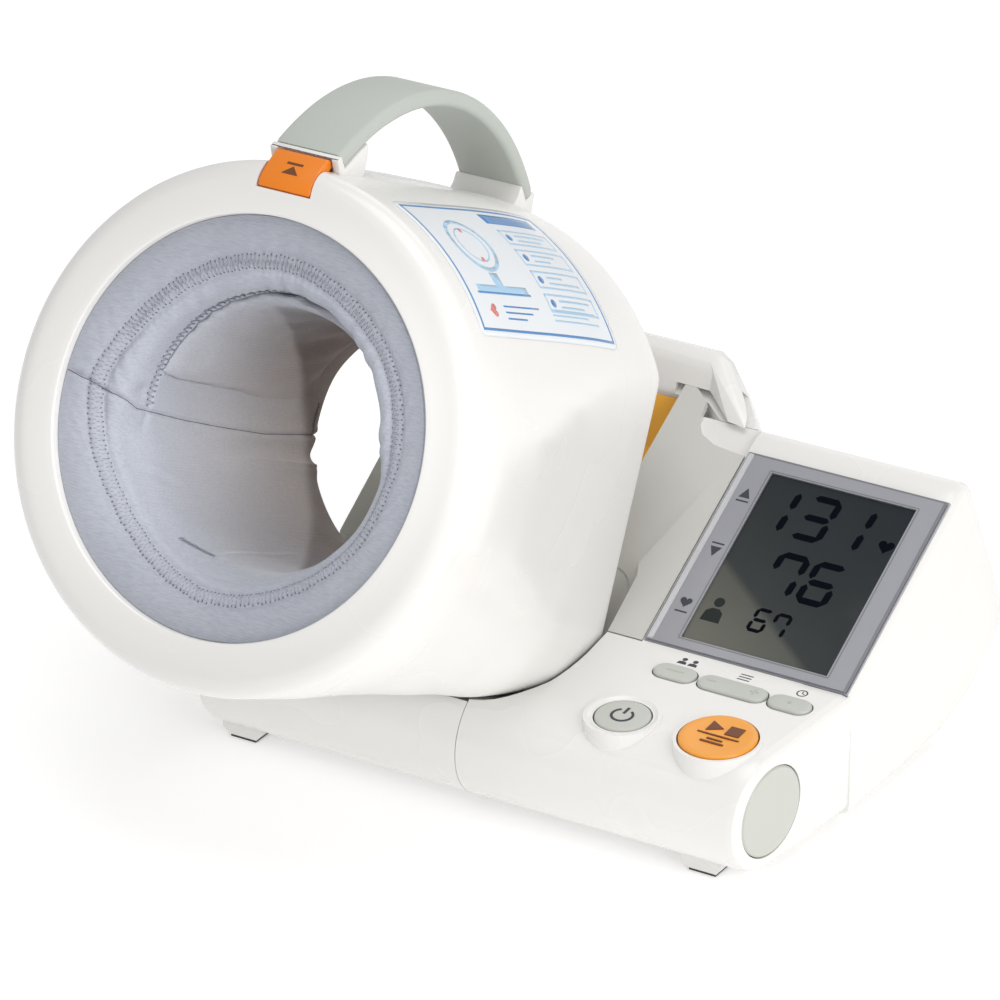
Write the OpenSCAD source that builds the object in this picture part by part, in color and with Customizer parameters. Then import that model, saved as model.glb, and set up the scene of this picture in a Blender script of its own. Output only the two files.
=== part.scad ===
// Arm-in blood pressure monitor: a slanted cuff drum hinged on a desk base
// with a control deck and a tilted display. Front faces -Y, up is +Z.
// The origin is the middle of the footprint, on the table.

/* [Base] */
// Overall left edge of the base, measured left from the end cap
base_l = 209.5; // [204:0.5:214]
// Radius of the rounded nose along the front
nose_r = 21; // [20.5:0.1:21.5]
// Height of the nose axis above the table
nose_z = 24.5; // [24.5:0.1:25]
// Wall of the moulded shells
wall = 2.4; // [2.2:0.1:2.6]
// Slope of the display
slope_deg = 30; // [29.5:0.1:30.5]
// Split between the cradle and the control unit
seam_x = -106.8; // [-107:0.1:-106.6]

/* [Display] */
// Width of the display frame
lens_w = 76.2; // [74:0.1:76.4]
// Length of the display frame up the slope
lens_l = 80.5; // [79:0.1:81]
// Width of the clear window
lcd_w = 54.8; // [50:0.1:56]
// Length of the clear window
lcd_l = 69.8; // [66:0.1:70]

/* [Buttons] */
// Radius of the round start and stop button
start_r = 13.1; // [12.5:0.1:13.3]
// Radius of the round power button
power_r = 9.4; // [9:0.1:9.6]
// Travel of every key
key_travel = 1.2; // [1:0.1:1.4]
// Gap around each key
key_gap = 0.45; // [0.4:0.05:0.6]

/* [Cuff drum] */
// Tilt of the drum axis, front end up
drum_tilt = 25.4; // [25:0.1:26]
// Length of the drum
drum_l = 138; // [137:0.5:139]
// Radius of the arm opening in the front ring
mouth_r = 68.6; // [68:0.1:69]
// Radius of the relaxed cuff inside the drum
cuff_r = 42; // [40:0.5:44]
// Outer radius of the carrying handle's arc
grip_r = 92; // [91:0.5:92.5]
// Width of the carrying handle
grip_w = 26; // [24:0.5:27]

/* [Hinge] */
// Radius of the two hinge pins
pin_r = 4; // [3.5:0.1:4.2]
// Running gap round a hinge pin
pin_gap = 0.06; // [0.03:0.01:0.09]

/* [Hidden] */
ox = 121.976;              // moves the end cap plane to its place right of the middle
oy = -27.451;              // centres the footprint front to back
xd = -162.6;             // drum axis, across
yf = -62.3;              // middle of the drum's front face
zf = 147.2;
top_x = -2;              // middle of the handle and of the button, from the drum axis
deck_k = 0.0735;         // rise of the deck per millimetre
deck_deg = atan(deck_k);
edge_y = 41.4;           // back edge of the deck
edge_z = 48.6;
py = 62;                 // hinge axis of the drum
pz = 25;
ST = tan(slope_deg);
function deck_z(y) = nose_z + 20.94 + (y + 1.6)*deck_k;
function slope_z(y) = edge_z + (y - edge_y)*ST;

module W() translate([ox, oy, 0]) children();
// a profile in the Y-Z plane, extruded from x0 to x1
module yz(x0, x1) translate([x0, 0, 0]) rotate([90, 0, 90]) linear_extrude(x1 - x0) children();
// drum frame: local Z runs from the front face to the back, local -Y points up
module D() translate([xd, yf, zf]) rotate([-90 - drum_tilt, 0, 0]) children();
// a profile of [station along the drum, height over its axis], extruded across from x0 to x1
module stl2(x0, x1) translate([x0, 0, 0]) rotate([0, 90, 0]) rotate([0, 0, 180]) linear_extrude(x1 - x0) children();
module st(x0, x1) D() stl2(x0, x1) children();
// deck frame and slope frame
module deck(x, y) translate([x, y, deck_z(y)]) rotate([deck_deg, 0, 0]) children();
module slope(x, v) translate([x, edge_y, edge_z]) rotate([slope_deg, 0, 0]) translate([0, v, 0]) children();

// ---------- base profiles ----------
module nose2(d) { translate([0, nose_z]) circle(r=nose_r - d, $fn=72); }
module front2(d) hull() { nose2(d); polygon([[0, 3.5 + d], [edge_y + 2, 5.4 + d], [edge_y + 2, edge_z + 2*deck_k - d], [-1.6, nose_z + 20.94 - d]]); }
module wedge2(d) offset(delta=-d) polygon([[35.3, 4.1], [82, 4.2], [108.5, 5.1], [127, 10.8], [144, 20.6], [152, 27], [152, 35],
    [150, 41], [127, 88], [124.6, 91], [121.5, 92.6], [118, 92.4], [35.3, edge_z - 6.1*ST]]);
module back2() intersection() { children(); translate([43, 0]) square([130, 130]); }
// end slices of the control unit: a rounded edge on a flaring side wall
module endslice(e) translate([e, 0, nose_z]) rotate([0, 1.2, -6.9]) translate([-0.1, 0, -nose_z]) yz(0, 0.1) children();
module control_solid(o=0) {
    hull() { yz(seam_x + o, seam_x + o + 0.1) front2(o); endslice(-3.4 - o) front2(o); endslice(-1 - o) front2(0.9 + o); endslice(-0.3 - o) front2(2 + o); endslice(0 - o) front2(3.4 + o); }
    hull() { yz(seam_x + o, seam_x + o + 0.1) wedge2(o); yz(2 - o, 2.1 - o) back2() wedge2(o); yz(4.4 - o, 4.5 - o) back2() wedge2(0.9 + o); yz(5.1 - o, 5.2 - o) back2() wedge2(2 + o); yz(5.5 - o, 5.6 - o) back2() wedge2(3.4 + o); }
}
// ---------- drum solids ----------
// [station, crown radius, half width, drop of the belly, corner radius]
DS = [[6.2, 86.3, 86.3, 86.3, 86.2], [20, 87, 87, 84.5, 80], [40, 88, 86.1, 81, 70], [65, 89.2, 83.3, 76.8, 50],
      [85, 89.6, 81, 73.4, 30], [105, 88.8, 78.7, 70, 20], [126, 87, 76.4, 66.5, 18], [drum_l, 85.4, 75, 64.3, 16]];
module section(k, o) hull() {
    intersection() { circle(r=k[1] + o, $fn=96); translate([-k[2] - o, -87.5 - o]) square([2*(k[2] + o), 87.5 + o]); }
    for (m = [-1, 1]) translate([m*(k[2] - k[4]), k[3] - k[4]]) circle(r=k[4] + o, $fn=48);
}
// o grows the body, a and b lengthen it at the front and the back
module drum_solid(o=0, a=0, b=0) hull() for (i = [0:len(DS) - 1])
    translate([0, 0, DS[i][0] - (i == 0 ? a : 0) + (i == len(DS) - 1 ? b - 0.05 : 0)]) linear_extrude(0.05) section(DS[i], o);
// space swept by the drum when it tips back about its hinge
module drum_sweep() hull() for (a = [0, -20]) translate([0, py, pz]) rotate([a, 0, 0]) translate([0, -py, -pz]) D()
    for (i = [2, 4, 5, 7]) translate([0, 0, DS[i][0] + (i == 7 ? 1.2 : 0)]) linear_extrude(0.05) section(DS[i], 1.3);
module tube(s0, s1, ro, ri) translate([0, 0, s0]) difference() { cylinder(h=s1 - s0, r=ro, $fn=96); translate([0, 0, -1]) cylinder(h=s1 - s0 + 2, r=ri, $fn=96); }

// ---------- base ----------
module key_holes() {
    deck(-19.4, -0.9) translate([0, 0, -12]) cylinder(h=20, r=start_r + key_gap, $fn=72);
    deck(-54.2, -2.3) translate([0, 0, -12]) cylinder(h=20, r=power_r + key_gap, $fn=72);
    deck(-54.2, -2.3) translate([0, 0, 0.1]) cylinder(h=2, r1=power_r + 1, r2=power_r + 4.6, $fn=72);
    for (k = [[-52.3, 15.5], [-30.7, 25.4], [-9.4, 15.5]]) deck(k[0], 28.5) translate([0, 0, -9]) linear_extrude(18) pill(k[1], 8.5, key_gap);
}
module pill(w, h, o) { for (m = [-1, 1]) translate([m*(w - h)/2, 0]) circle(r=h/2 + o, $fn=48); square([w - h, h + 2*o], center=true); }
module control_housing() W() color([0.93, 0.92, 0.89]) difference() {
    union() {
        control_solid(0);
        deck(-19.4, -0.9) translate([0, 0, -14]) cylinder(h=15.1, r1=start_r + 3, r2=start_r + 1.6, $fn=72);
        deck(-54.2, -2.3) translate([0, 0, -14]) cylinder(h=14.8, r1=power_r + 4.8, r2=power_r + 3.6, $fn=72);
    }
    control_solid(wall);
    translate([seam_x + 4, 7, 0]) cube([101, 96, 12]);                        // bottom opening
    key_holes();
    slope(-72.2, 0.6) translate([0, 0, -1.6]) cube([lens_w + 0.2, lens_l + 0.4, 8]);   // seat of the display frame
    slope(-68, 4) translate([0, 0, -8]) cube([68, 73, 14]);
    slope(-110, 0) translate([0, 0, -2.2]) cube([37.6, 104, 8]);                 // seat of the side panel
    slope(-103, 8) translate([0, 0, -8]) cube([24, 60, 12]);
    translate([0, 0, nose_z]) rotate([0, 91.2, -6.9]) translate([0, 0, -8]) cylinder(h=14, r=16.1, $fn=72);   // end cap opening
    drum_sweep();
    translate([-42, 140, 47]) rotate([-60, 0, 0]) translate([0, 0, 8]) cube([14.6, 11.4, 36], center=true);  // socket opening
}
module cradle2(d) offset(delta=-d) union() {
    difference() { nose2(0); translate([-13, 40]) rotate(-15.6) square([60, 20]); translate([0, -10]) square([60, 70]); }
    polygon([[0, 3.5], [0, 38.5], [32, 29.5], [34, 40], [74, 40], [126, 72], [126, 40], [152, 40], [152, 35], [152, 27], [144, 20.6], [127, 10.8], [108.5, 5.1], [82, 4.2]]);
}
module cradle_housing() W() color([0.93, 0.92, 0.89]) difference() {
    union() {
        yz(-base_l + 2.6, seam_x - 0.3) cradle2(0);
        yz(-base_l + 1, -base_l + 2.6) cradle2(0.9);
        yz(-base_l, -base_l + 1) cradle2(2.2);
    }
    difference() {
        yz(-base_l + 3.4, seam_x - 2.7) cradle2(wall);
        translate([-base_l, 30.2, 11]) cube([120, 2.4, 40]);
        translate([-base_l, 30.2, 11]) cube([120, 47, 2.4]);
        translate([-base_l, 75.2, 11]) cube([120, 2.4, 60]);
    }
    translate([-base_l + 3.4, 32.6, 13.4]) cube([base_l + seam_x - 6.1, 42.6, 60]);  // hinge bay
    translate([-base_l + 6, 7, 0]) cube([95, 96, 9]);                             // bottom opening
    drum_sweep();
}
module shoulder2(top) polygon(concat(top, [[152, 41], [152, 40.2], [128, 40.2]]));
module rear_shoulder() W() color([0.94, 0.93, 0.91]) difference() {
    union() {
        hull() {
            yz(-base_l + 1.2, -base_l + 1.3) shoulder2([[129.5, 94], [133, 105], [136.5, 107.5], [140, 106], [143, 100]]);
            yz(-base_l + 4, -base_l + 4.1) shoulder2([[128.6, 96], [132.6, 107.4], [136.5, 110], [141, 108.4], [144.5, 101]]);
            yz(-99, -98.9) shoulder2([[128.6, 96], [132.6, 107.4], [136.5, 110], [141, 108.4], [144.5, 101]]);
            yz(-94, -93.9) shoulder2([[127, 95.6], [130.5, 104.6], [134.5, 107.6], [139.5, 106], [143, 99]]);
        }
        hull() {
            yz(-99, -98.9) shoulder2([[128.6, 96], [132.6, 107.4], [136.5, 110], [141, 108.4], [144.5, 101]]);
            yz(-94, -93.9) shoulder2([[127, 95.6], [130.5, 104.6], [134.5, 107.6], [139.5, 106], [143, 99]]);
            yz(-84, -83.9) shoulder2([[119, 93.4], [123.5, 98.2], [128, 99.8], [133.5, 97.6], [137.5, 91]]);
            yz(-76, -75.9) shoulder2([[117.5, 92.3], [120.5, 93.5], [123.6, 93.2], [127, 90], [129, 86]]);
        }
    }
    yz(-base_l + 3.8, -99) polygon([[131, 30], [131, 94], [135, 104.5], [138, 106], [141.6, 100], [149.4, 42], [149.4, 30]]);
    control_solid(-0.12);
    slope(-110, 60) translate([0, 0, -2.4]) cube([37, 43.6, 2.7]);
}
module panel2(o) offset(delta=-o) polygon([[-seam_x*0 - 106.6, 0.3], [-72.5, 0.3], [-72.5, 79.2], [-75.4, 79.4], [-84.9, 80.5], [-91.5, 83.6], [-94.8, 88], [-95.7, 96.1], [-101, 100.5], [-106.6, 103]]);
module side_panel() W() color([0.78, 0.775, 0.75]) difference() {
    slope(0, 0) translate([0, 0, -2.1]) linear_extrude(2.3) panel2(0.15);
    drum_sweep();
}
module elbow_rest() W() color([0.66, 0.66, 0.62]) yz(-base_l + 1.6, -127.2) polygon([[66.5, 38.6], [67.6, 43.6], [69, 44.7], [108.5, 71.2], [111.3, 71.6], [112.4, 69.4]]);
module elbow_tray() W() color([0.93, 0.55, 0.18]) union() {
    yz(-base_l + 1.6, seam_x - 0.5) polygon([[76.4, 41.9], [78.4, 46.2], [113, 69.4], [115, 71.8], [126.4, 94.2], [126.4, 88.8], [117, 70.3], [114.6, 67.2]]);
    yz(-126.9, seam_x - 0.5) polygon([[66.5, 38.6], [66.5, 41.9], [114, 73.7], [118, 78], [116, 71.4], [112.4, 69.4]]);
}
module control_bottom_cover() W() color([0.9, 0.89, 0.86]) difference() {
    translate([seam_x + 4.3, 7.3, 4.6]) cube([100.4, 95.4, 2.6]);
    translate([-84, 38.4, 0]) cube([64.4, 62.4, 12]);
}
module cradle_bottom_cover() W() color([0.9, 0.89, 0.86])
    difference() { translate([-base_l + 6.3, 7.3, 4.6]) cube([94.4, 95.4, 2.6]); for (x = [-190, -130]) translate([x, 90, 0]) cylinder(h=12, r=1.7, $fn=32); }
// slides towards the back once its two tongues are freed
module battery_cover() W() color([0.9, 0.89, 0.86]) union() {
    translate([-83.6, 38.8, 4.6]) cube([63.6, 52, 2.6]);
    for (x = [-74, -38]) translate([x, 34.6, 7.5]) cube([8, 10, 1.4]);
    for (x = [-74, -38]) translate([x, 38.8, 7.1]) cube([8, 4, 0.5]);
    for (i = [0:3]) translate([-62, 82 - i*3, 4.2]) cube([20, 1.2, 0.5]);
}
module display_frame() W() color([0.66, 0.66, 0.68]) slope(-72, 0.8) difference() {
    union() { translate([0, 0, -1.5]) cube([lens_w, lens_l, 1.5]); translate([0.6, 0.6, 0]) cube([lens_w - 1.2, lens_l - 1.2, 0.9]); }
    translate([12.1, 4.4, -3]) cube([lcd_w, lcd_l, 8]);
}
module display_window() W() color([0.3, 0.33, 0.31, 0.5]) slope(-72, 0.8) translate([12.2, 4.5, -0.9]) cube([lcd_w - 0.2, lcd_l - 0.2, 1.5]);
module lcd_module() W() color([0.36, 0.39, 0.36]) slope(-72, 0.8) union() {
    translate([9, 3.5, -5.2]) cube([lcd_w + 3, lcd_l + 2, 3.4]);
    translate([12, 6, -5.8]) cube([lcd_w - 6, 6, 0.6]);
}
module main_board() W() color([0.1, 0.35, 0.2]) slope(-68, 6) union() {
    translate([0, 0, -11.6]) cube([64, 72, 1.6]);
    translate([20, 14, -14.2]) cube([14, 14, 2.6]);
    translate([44, 40, -13.6]) cube([8, 10, 2]);
    translate([6, 44, -18.6]) cylinder(h=7, r=4, $fn=32);
    for (x = [3, 58]) translate([x, 4, -10]) cube([3, 60, 4.2]);
}
module key_board() W() color([0.1, 0.35, 0.2]) union() {
    deck(0, 0) {
        translate([-66, -15, -13.4]) cube([60, 52, 1.6]);
        for (k = [[-19.4, -0.9], [-54.2, -2.3], [-52.3, 28.5], [-30.7, 28.5], [-9.4, 28.5]]) translate([k[0] - 3, k[1] - 3, -11.8]) cube([6, 6, 2.6]);
    }
}
module end_cap() W() color([0.84, 0.85, 0.82]) translate([0, 0, nose_z]) rotate([0, 91.2, -6.9])
    rotate_extrude($fn=72) polygon([[0, -2.2], [15.7, -2.2], [15.7, -0.3], [15.1, 0.3], [0, 0.3]]);
FEET = [[-198.5, -3.4], [-20.4, -3.4], [-198.5, 111.6], [-20.4, 111.6]];
module foot_blocks() W() color([0.92, 0.91, 0.89]) difference() {
    for (p = FEET) translate([p[0], p[1], 0]) hull() {
        translate([-5.4, -5.6, 1]) cube([10.8, 11.2, 0.1]);
        translate([-7.6, -6.2, 3.6]) cube([15.2, 12.4, 6]);
    }
    yz(-220, 10) hull() { nose2(-0.02); polygon([[0, 3.48], [82, 4.18], [108.5, 5.08], [127, 10.78], [127, 40], [0, 40]]); }
}
module rubber_feet() W() color([0.12, 0.12, 0.12]) for (p = FEET) translate([p[0] - 5, p[1] - 5.2, 0]) cube([10, 10.4, 1]);
module batteries() W() color([0.25, 0.3, 0.45]) for (i = [0:3]) translate([-75 + i*15.2, 40.6, 17.4]) rotate([-90, 0, 0]) { cylinder(h=49.2, r=7.1, $fn=48); translate([0, 0, 49.2]) cylinder(h=1.3, r=2.7, $fn=32); }
module battery_contacts() W() color([0.75, 0.75, 0.76]) for (i = [0:3]) translate([-75 + i*15.2, 0, 17.4]) {
    translate([-5, 37.6, -5]) cube([10, 0.5, 10]);
    translate([0, 38.2, 0]) rotate([-90, 0, 0]) cylinder(h=2.3, r1=4.4, r2=2.6, $fn=32);
    translate([-5, 91.3, -5]) cube([10, 0.5, 10]);
}
module dc_socket() W() color([0.13, 0.13, 0.13]) translate([-42, 140, 47]) rotate([-60, 0, 0]) difference() {
    translate([-7, -5.4, -14]) cube([14, 10.8, 18.6]);
    translate([0, 0, -8]) cylinder(h=30, r=2.8, $fn=48);
}
module air_pump() W() color([0.55, 0.56, 0.58]) translate([-196, 102, 26]) union() {
    rotate([0, 90, 0]) cylinder(h=32, r=12, $fn=64);
    translate([32, 0, 0]) rotate([0, 90, 0]) cylinder(h=18, r=14, $fn=64);
    translate([50, 0, 0]) rotate([0, 90, 0]) cylinder(h=9, r=2.2, $fn=32);
}
module exhaust_valve() W() color([0.2, 0.2, 0.22]) translate([-122, 112, 12]) union() {
    translate([-8, -6.6, 0]) cube([16, 14.6, 20]);
    translate([0, 0, 20]) cylinder(h=7, r=2.2, $fn=32);
}
module pressure_sensor() W() color([0.15, 0.15, 0.17]) slope(-68, 6) union() {
    translate([8, 20, -16.4]) cube([9, 9, 4.7]);
    translate([12.5, 24.5, -22.4]) cylinder(h=6, r=1.6, $fn=32);
}
module air_hose() W() color([0.75, 0.76, 0.74]) union() {
    translate([-136.8, 102, 26]) rotate([0, 90, 0]) cylinder(h=24, r=2.8, $fn=32);
    translate([-112.8, 102, 26]) sphere(r=2.8, $fn=32);
    translate([-112.8, 102, 26]) rotate([90, 0, 0]) cylinder(h=20, r=2.8, $fn=32);
}
module buzzer() W() color([0.15, 0.15, 0.15]) translate([-90, 112, 12]) difference() { cylinder(h=7, r=9, $fn=48); translate([0, 0, 5.5]) cylinder(h=3, r=2, $fn=32); }
module hinge_brackets() W() color([0.72, 0.73, 0.74]) difference() {
    for (x = [-203.4, -118.6]) {
        yz(x, x + 3) hull() { translate([py, pz]) circle(r=8, $fn=48); translate([py - 12, 13.5]) square([24, 1]); }
        translate([x == -203.4 ? x : x - 5, py - 12, 13.5]) cube([8, 24, 1.6]);
    }
    translate([-210, py, pz]) rotate([0, 90, 0]) cylinder(h=110, r=pin_r, $fn=64);
}
module hinge_pins() W() color([0.8, 0.8, 0.82]) for (x = [-203.4, -130.4]) translate([x, py, pz]) rotate([0, 90, 0]) cylinder(h=x < -200 ? 13 : 14.8, r=pin_r, $fn=64);
module base_screws() W() color([0.6, 0.6, 0.62]) for (p = [[-190, 90], [-130, 90]]) translate([p[0], p[1], 3.2]) { cylinder(h=1.3, r=2.9, $fn=32); cylinder(h=9, r=1.6, $fn=32); }

// ---------- drum ----------
module drum_casing() W() color([0.94, 0.93, 0.9]) D() difference() {
    drum_solid(0);
    drum_solid(-wall, 2, -4.6);
    rotate_extrude($fn=96) polygon([[0, -5], [70.8, -5], [70.8, 52], [61, 126], [61, 145], [0, 145]]);   // the cuff's housing, narrower at the back
    for (x = [-194, -126]) translate([x - xd - 6.2, 48, 130]) cube([12.4, 30, 20]);
    latch_pocket();
}
module front_bezel() W() color([0.92, 0.91, 0.89]) D() difference() {
    rotate_extrude($fn=96) polygon([[mouth_r, 1.1], [mouth_r + 1, 0], [79, 0], [82.6, 0.7], [84.9, 2.3], [86, 4.4], [86.2, 6.1], [70.6, 6.1], [70.6, 12], [mouth_r, 12]]);
    latch_pocket();
}
module rear_bezel() W() color([0.9, 0.89, 0.87]) D() difference() {
    union() { tube(126.2, 138, 60.7, 56); for (x = [-194, -126]) translate([x - xd - 6, 48.2, 133.6]) cube([12, 15.6, 4.4]); }
    translate([0, 0, 100]) cylinder(h=60, r=56, $fn=96);
}
module cuff_sleeve() W() color([0.85, 0.85, 0.83]) D() rotate_extrude($fn=96) polygon([[68.8, 12.4], [70.2, 12.4], [70.2, 52], [60.5, 125.6], [59.1, 125.6], [68.8, 51.9]]);
module air_bladder() W() color([0.55, 0.57, 0.62]) D() rotate_extrude($fn=96) polygon([[64.4, 24], [68.4, 24], [68.4, 51.7], [59.8, 116], [56, 116], [64.4, 51.5]]);
module cuff_cushion() W() color([0.68, 0.7, 0.76]) D() rotate_extrude($fn=72) polygon([[64, 26], [52, 26], [cuff_r + 3, 34], [cuff_r, 46], [cuff_r - 1.5, 70], [cuff_r, 96], [cuff_r + 3, 108], [50, 113.6], [55.7, 113.6], [64, 51]]);
module cuff_front_lining() W() color([0.68, 0.7, 0.76]) D() rotate_extrude($fn=72) polygon([[mouth_r - 0.3, 2], [62, 4.2], [55.5, 9], [48.5, 20], [46.5, 25.6], [49.5, 25.6], [58, 12], [63.5, 7.6], [mouth_r - 0.3, 6]]);
module cuff_rear_lining() W() color([0.68, 0.7, 0.76]) D() rotate_extrude($fn=72) polygon([[55.6, 137], [52, 133.6], [48.6, 124], [47, 114.4], [50, 114.4], [51.6, 123.4], [53.8, 130], [55.6, 132.6]]);
// handle: an arch along the top of the drum, centred over station 75
module arc(ro, ri, a, w) translate([-w/2, -27.5, 75]) rotate([0, 90, 0]) rotate([0, 0, 270 - a]) rotate_extrude(angle=2*a, $fn=120) translate([ri, 0]) square([ro - ri, w]);
function on_arc(r, a) = [75 + r*sin(a), 27.5 + r*cos(a)];
module front_foot2() polygon(concat([[25.5, 84.5], [11, 84.5], [9.3, 87.6], [7.1, 90.4], on_arc(92, -46.6), on_arc(92, -45.6)], [for (a = [-45.6:1.6:-36]) on_arc(86.3, a)], [[25.5, 96]]));
module rear_foot2() polygon(concat([[126, 84.5], [130.5, 88.6], [131, 92]], [for (a = [40.8:1.6:45.6]) on_arc(86.3, a)], [on_arc(92, 45.6), on_arc(92, 46.6), [142.4, 86], [142.4, 76], [138.1, 76], [138.1, 84.5]]));
module handle_frame() W() color([0.93, 0.92, 0.9]) difference() {
    union() {
        st(top_x - 13, top_x + 13) front_foot2();
        st(top_x - 13, top_x + 13) rear_foot2();
        D() translate([top_x, 0, 0]) arc(90.6, 88, 46.9, 19);
    }
    D() drum_solid(0.04);
    D() latch_pocket();
}
module handle_grip() W() color([0.74, 0.77, 0.75]) D() translate([top_x, 0, 0]) difference() {
    arc(grip_r, 86.4, 45.5, grip_w);
    arc(90.7, 87.9, 60, 19.2);
}
// release button: sits in a pocket that leans with the rounded front edge
module latch_pocket() stl2(top_x - 10.3, top_x + 10.3) translate([-0.2, 77.2]) rotate(54.4) translate([-0.4, -4.6]) square([16.2, 14]);
module latch_button() W() color([0.95, 0.6, 0.2]) st(top_x - 9.9, top_x + 9.9) translate([-0.2, 77.2]) rotate(54.4)
    polygon([[0, -2.7], [15.4, -2.7], [15.4, -0.2], [14.6, 0.9], [12.6, 1.6], [8.6, 2], [4.6, 1.9], [1.6, 1.3], [0.3, 0.4], [0, -0.6]]);
module guide_label() W() color([0.86, 0.9, 0.95]) D() difference() {
    intersection() { drum_solid(0.35); translate([0, 0, 13]) linear_extrude(90) polygon([[0, 0], [200*sin(20), -200*cos(20)], [200*sin(57), -200*cos(57)]]); }
    drum_solid(0.03);
}
module hinge_arms() W() color([0.92, 0.91, 0.89]) difference() {
    for (x = [-194, -126]) yz(x - 5, x + 5) difference() {
        hull() { translate([py, pz]) circle(r=8.6, $fn=48); translate([39.6, 34.6]) rotate(-25.4 + 90) square([15, 0.5]); translate([35.9, 30.1]) circle(r=0.6, $fn=16); }
    }
    translate([-210, py, pz]) rotate([0, 90, 0]) cylinder(h=110, r=5.6, $fn=64);
}
module hinge_bushes() W() color([0.78, 0.65, 0.35]) for (x = [-194, -126]) difference() {
    translate([x - 5, py, pz]) rotate([0, 90, 0]) cylinder(h=10, r=5.6, $fn=64);
    translate([x - 6, py, pz]) rotate([0, 90, 0]) cylinder(h=12, r=pin_r + pin_gap, $fn=64);
}
module drum_hose() W() color([0.75, 0.76, 0.74]) D() translate([58, 50, 110]) cylinder(h=23, r=2.4, $fn=32);
module drum_screws() W() color([0.6, 0.6, 0.62]) D() for (a = [40, 140, 220, 320]) rotate([0, 0, a]) translate([73.4, 0, 138.05]) { cylinder(h=0.9, r=1.9, $fn=32); }
module round_key(r, t) { rotate_extrude($fn=72) polygon([[0, -7.4], [r, -7.4], [r, t - 1], [r - 0.8, t], [r*0.6, t - 0.25], [0, t - 0.45]]); translate([0, 0, -7.6]) cylinder(h=0.4, r=2.4, $fn=32); }
module start_key() W() color([0.93, 0.52, 0.16]) deck(-19.4, -0.9) round_key(start_r, 1.9);
module power_key() W() color([0.84, 0.84, 0.82]) deck(-54.2, -2.3) round_key(power_r, 0.6);
module pill_key(w) { translate([0, 0, -7.4]) linear_extrude(8) pill(w, 8.5, 0); translate([0, 0, 0.6]) linear_extrude(0.5) pill(w, 8.5, -0.6); translate([0, 0, -7.6]) cylinder(h=0.4, r=2, $fn=32); }
module recall_key() W() color([0.83, 0.84, 0.81]) deck(-52.3, 28.5) pill_key(15.5);
module memory_key() W() color([0.83, 0.84, 0.81]) deck(-30.7, 28.5) pill_key(25.4);
module print_key() W() color([0.83, 0.84, 0.81]) deck(-9.4, 28.5) pill_key(15.5);

control_housing();
cradle_housing();
rear_shoulder();
control_bottom_cover();
cradle_bottom_cover();
battery_cover();
side_panel();
elbow_rest();
elbow_tray();
display_frame();
display_window();
lcd_module();
main_board();
key_board();
end_cap();
foot_blocks();
rubber_feet();
batteries();
battery_contacts();
dc_socket();
air_pump();
exhaust_valve();
pressure_sensor();
air_hose();
buzzer();
hinge_brackets();
hinge_pins();
base_screws();
drum_casing();
front_bezel();
rear_bezel();
cuff_sleeve();
air_bladder();
cuff_cushion();
cuff_front_lining();
cuff_rear_lining();
handle_frame();
handle_grip();
guide_label();
hinge_arms();
hinge_bushes();
drum_hose();
drum_screws();
latch_button();
start_key();
power_key();
recall_key();
memory_key();
print_key();
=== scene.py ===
import bpy, bmesh, math
import numpy as np
from mathutils import Vector, Matrix

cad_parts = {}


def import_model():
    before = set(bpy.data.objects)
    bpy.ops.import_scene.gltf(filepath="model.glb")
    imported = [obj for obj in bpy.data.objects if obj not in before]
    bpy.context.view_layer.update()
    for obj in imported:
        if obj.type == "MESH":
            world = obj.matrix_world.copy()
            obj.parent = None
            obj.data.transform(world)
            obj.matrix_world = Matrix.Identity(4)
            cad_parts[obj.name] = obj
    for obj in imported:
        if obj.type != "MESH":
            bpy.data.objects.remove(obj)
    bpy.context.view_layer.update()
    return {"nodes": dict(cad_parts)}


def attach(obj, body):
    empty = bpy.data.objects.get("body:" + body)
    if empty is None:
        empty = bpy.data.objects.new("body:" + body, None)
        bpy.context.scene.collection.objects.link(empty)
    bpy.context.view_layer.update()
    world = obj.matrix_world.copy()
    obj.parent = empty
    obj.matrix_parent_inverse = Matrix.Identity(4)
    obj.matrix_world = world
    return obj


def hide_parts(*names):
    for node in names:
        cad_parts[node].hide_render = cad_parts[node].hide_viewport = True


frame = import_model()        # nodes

NODES = frame["nodes"]

# ------------------------------------------------------------------ frames
OX, OY = 121.976, -27.451
CA, SA = math.cos(math.radians(25.4)), math.sin(math.radians(25.4))
XD, YF, ZF = -162.6, -62.3, 147.2
TOPX = -2.0


def w(x, y, z):
    return Vector(((x + OX) / 1000, (y + OY) / 1000, z / 1000))


def dr(x, s, t):
    """drum frame: across, station from the front face, height over the axis (mm)"""
    return w(XD + x, YF + s * CA + t * SA, ZF - s * SA + t * CA)


def dp(phi, s, r):
    """polar in the drum frame, phi in degrees from the top, + to the right"""
    a = math.radians(phi)
    return dr(r * math.sin(a), s, r * math.cos(a))


DK = 0.0735
DD = math.atan(DK)


def deck(x, y, a=0.0, b=0.0, h=0.0):
    z0 = 24.5 + 20.94 + (y + 1.6) * DK
    return w(x + a, y + b * math.cos(DD) - h * math.sin(DD), z0 + b * math.sin(DD) + h * math.cos(DD))


C30, S30 = math.cos(math.radians(30)), math.sin(math.radians(30))


def slope(x, v, h=0.0):
    return w(x, 41.4 + v * C30 - h * S30, 48.6 + v * S30 + h * C30)


# ------------------------------------------------------------------ materials
def nt(m):
    m.use_nodes = True
    t = m.node_tree
    t.nodes.clear()
    out = t.nodes.new("ShaderNodeOutputMaterial")
    b = t.nodes.new("ShaderNodeBsdfPrincipled")
    t.links.new(b.outputs[0], out.inputs[0])
    tc = t.nodes.new("ShaderNodeTexCoord")
    return t, b, tc.outputs["Object"]


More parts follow.
